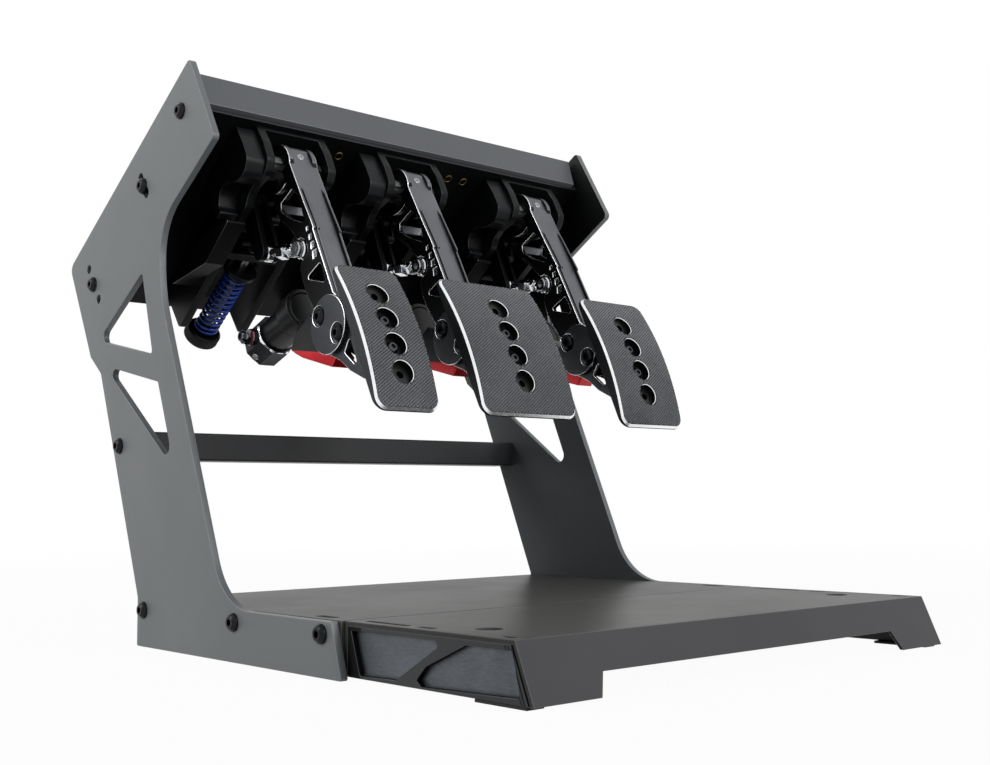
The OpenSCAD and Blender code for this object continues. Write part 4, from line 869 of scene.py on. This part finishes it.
def makeLink(name, unit):
    shape, body = linkShape, name + "_link_body"
    rearY, rearZ = onDeck(*unitPlaces["linkRear"])
    pivotY, pivotZ = onDeck(*unitPlaces["pivot"])
    frontY, frontZ = pivotY + unitPlaces["linkFront"][0], pivotZ + unitPlaces["linkFront"][1]
    length = math.hypot(rearY - frontY, rearZ - frontZ)
    tilt = math.degrees(math.atan2(rearZ - frontZ, rearY - frontY))
    base = placed(unit["x"] + shape["middle"], frontY, frontZ) @ leaning(-tilt)
    bm = bmesh.new()
    half = shape["eyeWidth"] / 2
    ring = [(r, -half + inward) for r, inward in shape["eyeRing"]]
    ring += [(r, half - inward) for r, inward in reversed(shape["eyeRing"])]
    for y, bore in ((0, shape["frontBore"]), (length, shape["rearBore"])):
        eye, neck = base @ moved(0, y, 0) @ alongX, bore + shape["ballWall"]
        addTurned(bm, ring, eye, 0, 48, closed=True)
        ball = [(bore, -half), (neck, -half), *shape["ball"], (neck, half), (bore, half)]
        addTurned(bm, ball, eye, 0, 48, closed=True)
    shank = base @ alongY
    endRadius, endReach = shape["rearEnd"]
    addTurned(bm, shape["frontShank"], shank, 0, 32)
    addPrism(bm, matrix=shank, **shape["nut"])
    addPrism(bm, matrix=shank, **shape["sleeve"])
    addTurned(bm, shape["rearShank"] + [(endRadius, length - endReach), (0, length - endReach)], shank, 0, 32)
    solidPiece(name + "_link_rod", bm, body, ["chrome"], [name + "_link"])
    grown(name + "_link_thread", trees["coil"], shape["thread"], "chrome", shank @ moved(0, 0, shape["threadFrom"]),
          body, smoothBelow=60, plain=shape["threadTurns"])


# the fitting's parts are (radius, height) points above the collar's flat side
motorShape = {
    "can": 16.0, "canStart": 8.0, "canEnd": 58.0, "canEdge": 1.2, "groove": (28.5, 30.5), "grooveDepth": 0.5,
    "seam": (6.0, 0.6), "collarEnd": 84.0, "across": 36.0, "collarEdge": 1.4, "bore": 11.0, "plug": 11.4,
    "plugInside": (4.0, 3.0), "fitting": (11.7, 2.0), "screw": 19.5,
    "socket": [(0, -6), (7.5, -6), (7.5, 1.9), (6.9, 2.5), (0, 2.5)], "nut": {"radius": 7.6, "edge": 0.9},
    "nutFrom": 3.6, "nutTo": 9.0,
    "port": [(0, 8.8), (4.5, 8.8), (4.5, 11.4), (4.0, 12), (2.6, 12), (2.6, 9.5), (0, 9.5)],
    "seal": [(5.0, 2.5), (6.6, 2.5), (6.9, 2.9), (6.9, 3.5), (6.6, 3.8), (5.0, 3.8)],
}
collarScrew = {"head": 3.2, "height": 1.4, "socket": 1.5, "shank": 1.2, "length": 3}


def makeMotor(name, unit):
    shape, base, body, nodes = motorShape, motorFrame(unit["x"]), name + "_pedal", [name + "_motor"]
    axis = base @ alongY
    r, start, end, collarEnd = shape["can"], shape["canStart"], shape["canEnd"], shape["collarEnd"]
    (low, high), (back, step), edge, deep = shape["groove"], shape["seam"], shape["canEdge"], shape["grooveDepth"]
    turned(name + "_motor_can", [
        (0, start), (r - edge, start), (r, start + edge), (r, low), (r - deep, low + deep), (r - deep, high - deep),
        (r, high), (r, end - back), (r - step, end - back + step), (r - step, end + deep), (0, end + deep)],
        axis, body, "motorGrey", nodes, 64)
    bm = bmesh.new()
    half, plug, (front, rear) = shape["across"] / 2, shape["plug"], shape["plugInside"]
    addPrism(bm, 8, half / math.cos(math.pi / 8), end - step, collarEnd, axis, 0, 1, shape["collarEdge"],
             math.radians(22.5), shape["bore"])
    addTurned(bm, [(0, end + front), (plug, end + front), (plug, collarEnd - rear), (0, collarEnd - rear)], axis, 2)
    solidPiece(name + "_motor_collar", bm, body, ["collarGrey", "brightEdge", "motorGrey"], nodes)
    bm = bmesh.new()
    along, up = shape["fitting"]
    fitting = base @ moved(0, end + along, up) @ againstX
    socket, port, seal = ([(radius, half + height) for radius, height in shape[key]] for key in (
        "socket", "port", "seal"))
    addTurned(bm, socket, fitting)
    addPrism(bm, 6, low=half + shape["nutFrom"], high=half + shape["nutTo"], matrix=fitting, **shape["nut"])
    addTurned(bm, port, fitting, 0, 32)
    solidPiece(name + "_motor_fitting", bm, body, ["darkChrome"], nodes)
    turned(name + "_motor_seal", seal, fitting, body, "redSeal", nodes, 40, True, 40)
    facet = half * math.sqrt(0.5)
    screws(name + "_collar_screw", [((0, 0, 0), (-1, 0, -1))], body, "brightScrew", collarScrew,
           matrix=base @ moved(-facet, end + shape["screw"], -facet))


# seat is a disc screw's place along x from the arm's middle; the bolt and the web screw are (radius, height)
discScrew = {"seat": 20.0, "head": 7.0, "height": 4.2, "socket": 2.9, "shank": 4.0, "length": 10.5}
padScrew = {"head": 5.3, "height": 3.4, "socket": 2.3, "shank": 3.0, "length": 8.0}
linkBolt = [(0, -17.9), (2.9, -17.9), (2.9, -20.3), (5.8, -20.3), (6.6, -19.5), (6.6, -16.3), (4.0, -16.3),
            (4.0, 15.2), (0, 15.2)]
webScrew = {"place": (-17.0, 9.6), "lean": 30.3,
            "profile": [(0, -1), (3.4, -1), (3.4, 0.25), (3.0, 0.6), (1.2, 0.6), (1.2, 0.1), (0, 0.1)]}


def makeFasteners(name, unit):
    body, base, nodes = name + "_pedal", armFrame(unit["x"]), [name + "_screws"]
    (cy, cz), (sy, sz) = unitPlaces["clamp"], unitPlaces["clampScrew"]
    places = [((side * discScrew["seat"], cy + k * sy, cz + k * sz), (side, 0, 0))
              for side in (-1, 1) for k in (-1, 1)]
    screws(name + "_disc_screws", places, body, "blackScrew", discScrew, nodes, base)
    places = [((0, -padShape["floor"], k * padShape["holePitch"]), (0, -1, 0)) for k in (-0.5, 0.5)]
    screws(name + "_pad_screws", places, body, "padScrew", padScrew, nodes, padFrame(unit))
    bolt = base @ moved(0, *unitPlaces["linkFront"]) @ alongX
    turned(name + "_link_bolt", linkBolt, bolt, body, "brightScrew", nodes)
    # the flush screw in the web's head
    head = base @ moved(0, *webScrew["place"]) @ Matrix.Rotation(math.radians(90 - webScrew["lean"]), 4, "X")
    turned(name + "_web_screw", webScrew["profile"], head, body, "brightScrew", (), 32)


# keep is the share of a spring's length that is left when its pedal is down
springShape = {
    "start": 140.0, "end": 219.0, "turns": 13.0, "coil": 10.0, "wire": 1.5, "endPitch": 3.15, "steps": 30.0,
    "keep": {"clutch": 0.916, "throttle": 0.925},
}
# a knob's rims are given inwards from its radius, its rear rim and recess downwards from its rear face
knobShape = {
    "radius": 16.2, "length": 13.0, "bore": 4.3, "frontRim": [(1.6, 0), (0, 1.4)], "rearRim": [(0, 1.4), (1.2, 0.3)],
    "recess": [(10.5, 0), (9.8, 1.1), (6.2, 1.1)], "ribs": 44, "rib": 0.8, "ribLength": 9.2, "sunk": 0.05,
}


def makeSpring(name, unit, colour):
    shape = springShape
    sizes = {"Coil Radius": shape["coil"], "Wire Radius": shape["wire"], "Length": shape["end"] - shape["start"],
             "End Pitch": shape["endPitch"]}
    spring = grown(
        name + "_coil", trees["coil"], sizes, colour, pushFrame(unit["x"], shape["start"]), "stand",
        [name + "_spring"], smoothBelow=60, plain={"Turns": shape["turns"], "Steps": shape["steps"]})
    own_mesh(spring)


def makeKnob(name, unit, finish):
    shape, body = knobShape, name + "_knob_body"
    base = pushFrame(unit["x"], springShape["end"])
    r, length, bore = shape["radius"], shape["length"], shape["bore"]
    profile = [(bore, 0)] + [(r - inward, up) for inward, up in shape["frontRim"]]
    profile += [(r - inward, length - down) for inward, down in shape["rearRim"]]
    profile += [(radius, length - down) for radius, down in shape["recess"]] + [(bore, length)]
    turned(name + "_knob_core", profile, base, body, finish, [name + "_knob"], 72, True)
    sizes = {"Rim Radius": r - shape["sunk"], "Rib": shape["rib"], "Length": shape["ribLength"]}
    grown(name + "_knob_ribs", trees["rib"], sizes, finish, base @ moved(0, 0, length / 2), body,
          smoothBelow=20, plain={"Count": shape["ribs"]})


# distances from the arm's pivot and its middle plane in metres; flat and webUp are shares of a face's normal, along
# x for the flanges' sides and up for the web
armShape = {
    "markX": 0.01365, "insideX": 0.008, "flangeX": 0.0125, "hubReach": 0.020, "hubEdge": 0.0165, "hubFront": 0.012,
    "flat": 0.9, "webUp": 0.2,
}


def armPaint(x):
    # the flanges are black, the web grey and the marks cut bright; painted light: the cross pieces are grey too
    pivot = armFrame(x).translation

    def choose(face):
        at = face.calc_center_median()
        fromMiddle = abs(at.x - pivot.x)
        if abs(face.normal.x) > armShape["flat"]:
            return 1 if abs(fromMiddle - armShape["markX"]) < dressing["near"] else 2
        away = math.hypot(at.y - pivot.y, at.z - pivot.z)
        onWeb = face.normal.y < -dressing["facing"] and face.normal.z > armShape["webUp"]
        return 0 if onWeb or (fromMiddle < armShape["insideX"] and away > armShape["hubReach"]) else 2
    return choose


def armEdges(x):
    # only the flanges' outer edges are cut bright, and not round the hub; the web's own edges stay grey
    pivot = armFrame(x).translation

    def choose(face):
        at = face.calc_center_median()
        outward = (at.x - pivot.x) * face.normal.x > 0
        if outward and abs(at.x - pivot.x) < armShape["flangeX"]:
            return 0
        near = math.hypot(at.y - pivot.y, at.z - pivot.z) < armShape["hubEdge"]
        return 1 if outward and not (near and at.y > pivot.y - armShape["hubFront"]) else 2
    return choose


def wedgeTop(x):
    # the plane in the cradle above which it is black
    across, up = unitPlaces["wedgeWay"]
    return (armFrame(x) @ moved(0, *unitPlaces["wedge"])).translation, Vector((0, across, up)).normalized()


def cradlePaint(x):
    # the ring round the motor is black, the wedge below it red
    point, down = wedgeTop(x)
    return lambda face: 0 if (face.calc_center_median() - point).dot(down) > 0 else 2


# a unit's CAD pieces: their finishes, of which the second is for broken edges, slot and edge in millimetres
unitPieces = {
    "base": (["unitBlack", "unitEdge"], "unit_black", 0.5),
    "cover": (["coverPlastic", "unitEdge"], "cover_plastic", 0.5),
    "sensor_box": (["boxPlastic", "boxEdge"], "cover_plastic", 0.4),
    "axles": (["steel"], "steel", 0.4),
    "arm": (["armGrey", "brightEdge", "armBlack"], "arm_grey", 0.55),
    "bracket": (["bracketGrey", "brightEdge"], "bracket_grey", 0.5),
    "discs": (["bracketGrey", "brightEdge"], "bracket_grey", 0.5),
    "rocker": (["darkSteel", "unitEdge"], "unit_black", 0.4),
    "slider": (["darkSteel", "unitEdge"], "steel", 0.3),
    "cradle": (["redAnodised", "redAnodised", "motorGrey"], "cradle_red", 0.5),
}
for name, unit in units.items():
    x = unit["x"]
    special = {
        "arm": {"paint": armPaint(x), "edgePaint": armEdges(x), "edgeSteps": 2},
        "discs": {"flatBelow": None},
        "cradle": {"paint": cradlePaint(x), "edgePaint": cradlePaint(x), "cuts": lambda bm: [wedgeTop(x)]},
    }
    for part, (finishNames, slotName, edgeMm) in unitPieces.items():
        dressed(name + "_" + part, finishNames, slotName, edgeMm, **special.get(part, {}))
    makePad(name, unit)
    makeLink(name, unit)
    makeMotor(name, unit)
    makeFasteners(name, unit)
    print(name, "unit finished")

makeSpring("clutch", units["clutch"], "springBlue")
makeSpring("throttle", units["throttle"], "springGrey")
makeKnob("clutch", units["clutch"], "knobBlack")
makeKnob("throttle", units["throttle"], "brass")

cylinderShape = {
    "start": 120.0, "end": 219.0, "flange": 19.0, "flangeWidth": 5.0, "body": 15.0, "bodyEnd": 200.0, "neck": 12.0,
    "bore": 5.06, "boreEnd": 172.0, "grooves": (150.0, 156.0, 162.0, 184.0), "grooveDepth": 1.2,
    "grooveWidth": 3.0, "edge": 0.6, "shoulder": 1.0,
}


def makeCylinder(unit):
    shape = cylinderShape
    start, end, bodyEnd, boreEnd = (shape[key] for key in ("start", "end", "bodyEnd", "boreEnd"))
    body, flange, neck, bore = (shape[key] for key in ("body", "flange", "neck", "bore"))
    low, edge, soft = body - shape["grooveDepth"], shape["edge"], shape["shoulder"]
    flangeEnd = start + shape["flangeWidth"]
    profile = [(bore, start), (flange - edge, start), (flange, start + edge), (flange, flangeEnd - edge),
               (flange - edge, flangeEnd), (body, flangeEnd)]
    for groove in shape["grooves"]:
        past = groove + shape["grooveWidth"]
        profile += [(body, groove), (low, groove + edge), (low, past - edge), (body, past)]
    profile += [(body, bodyEnd - soft), (body - soft, bodyEnd), (neck, bodyEnd), (neck, end - soft),
                (neck - soft, end), (0, end), (0, boreEnd), (bore, boreEnd)]
    turned("brake_master_cylinder", profile, pushFrame(unit["x"], 0), "stand", "cylinderBlack",
           ["brake_cylinder"], 64, True)


makeCylinder(units["brake"])
print("springs, knobs and cylinder finished")


floorPlan = {"reach": 30.0, "share": 0.96, "near": 0.6, "far": 2.6}
studio = {"fill": 0.18, "seen": 1.0, "aim": (0, 0.05, 0.28)}
lamps = {
    "key": {"place": (-2.2, 0.9, 1.5), "size": 1.4, "power": 34.0},
    "front": {"place": (0.4, -2.3, 1.25), "size": 1.4, "power": 38.0},
    "back": {"place": (0.4, 1.9, 1.8), "size": 1.6, "power": 8.0},
}


def seenRays(tree):
    # 1 for rays from the camera, and for those that reach it by a mirror or through glass
    path = add(tree, "ShaderNodeLightPath").outputs
    direct = add(tree, "ShaderNodeMath", {0: path["Is Camera Ray"], 1: path["Is Glossy Ray"]}, operation="MAXIMUM")
    return add(tree, "ShaderNodeMath", {0: direct, 1: path["Is Transmission Ray"]}, operation="MAXIMUM")


def backdropMaterial(name, lit):
    # white paper as the camera sees it, keeping some of the shadow near the stand
    material, tree, surface, place = newMaterial(name, {"Base Color": linear(lit), "Roughness": 0.9})
    away = add(tree, "ShaderNodeVectorMath", {0: place}, operation="LENGTH").outputs["Value"]
    share = add(tree, "ShaderNodeMapRange", {
        "Value": away, "From Min": floorPlan["near"], "From Max": floorPlan["far"], "To Min": floorPlan["share"]})
    part = add(tree, "ShaderNodeMath", {0: seenRays(tree), 1: share}, operation="MULTIPLY")
    white = add(tree, "ShaderNodeEmission", {"Color": (1, 1, 1, 1), "Strength": studio["seen"]})
    both = add(tree, "ShaderNodeMixShader", {0: part, 1: surface, 2: white})
    output = next(n for n in tree.nodes if n.type == "OUTPUT_MATERIAL")
    tree.links.new(both.outputs[0], output.inputs["Surface"])
    return material


floorMesh = bpy.data.meshes.new("floor")
reach = floorPlan["reach"]
corners = [(-reach, -reach, 0), (reach, -reach, 0), (reach, reach, 0), (-reach, reach, 0)]
floorMesh.from_pydata(corners, [], [(0, 1, 2, 3)])
floorMesh.materials.append(backdropMaterial("whitePaperFloor", "#b4b4b4"))
floor = bpy.data.objects.new("floor", floorMesh)
bpy.context.scene.collection.objects.link(floor)

world = bpy.data.worlds.new("studio")
bpy.context.scene.world = world
world.use_nodes = True
worldTree = world.node_tree
worldTree.nodes.clear()
strength = add(worldTree, "ShaderNodeMapRange", {
    "Value": seenRays(worldTree), "To Min": studio["fill"], "To Max": studio["seen"]})
sky = add(worldTree, "ShaderNodeBackground", {"Color": (1, 1, 1, 1), "Strength": strength})
add(worldTree, "ShaderNodeOutputWorld", {"Surface": sky})

for lampName, lamp in lamps.items():
    data = bpy.data.lights.new(lampName, "AREA")
    data.size, data.energy = lamp["size"], lamp["power"]
    light = bpy.data.objects.new(lampName, data)
    light.location = lamp["place"]
    light.rotation_euler = (Vector(studio["aim"]) - light.location).to_track_quat("-Z", "Y").to_euler()
    bpy.context.scene.collection.objects.link(light)

# the photograph's camera: place in metres, angles in degrees, lens in millimetres
view = {"place": (-0.7128, -0.8436, 0.11876), "azimuth": -41.375, "elevation": -5.2515, "roll": -0.5525,
        "lens": 45.724, "sensor": 36.0, "shift": (0.0002, 0.0027)}
az, el, roll = (math.radians(view[key]) for key in ("azimuth", "elevation", "roll"))
forward = Vector((-math.sin(az) * math.cos(el), math.cos(az) * math.cos(el), -math.sin(el)))
right = Vector((math.cos(az), math.sin(az), 0))
up = right.cross(forward)
tiltedRight = math.cos(roll) * right + math.sin(roll) * up
tiltedUp = math.cos(roll) * up - math.sin(roll) * right
cameraData = bpy.data.cameras.new("camera")
cameraData.lens, cameraData.sensor_width, cameraData.sensor_fit = view["lens"], view["sensor"], "HORIZONTAL"
cameraData.shift_x, cameraData.shift_y = view["shift"]
cameraData.clip_start = 0.01
camera = bpy.data.objects.new("camera", cameraData)
camera.matrix_world = Matrix.Translation(view["place"]) @ Matrix(
    [[tiltedRight[i], tiltedUp[i], -forward[i]] for i in range(3)]).to_4x4()
bpy.context.scene.collection.objects.link(camera)
bpy.context.scene.camera = camera
bpy.context.scene.view_settings.view_transform = "Standard"
print("floor, lamps and camera set")
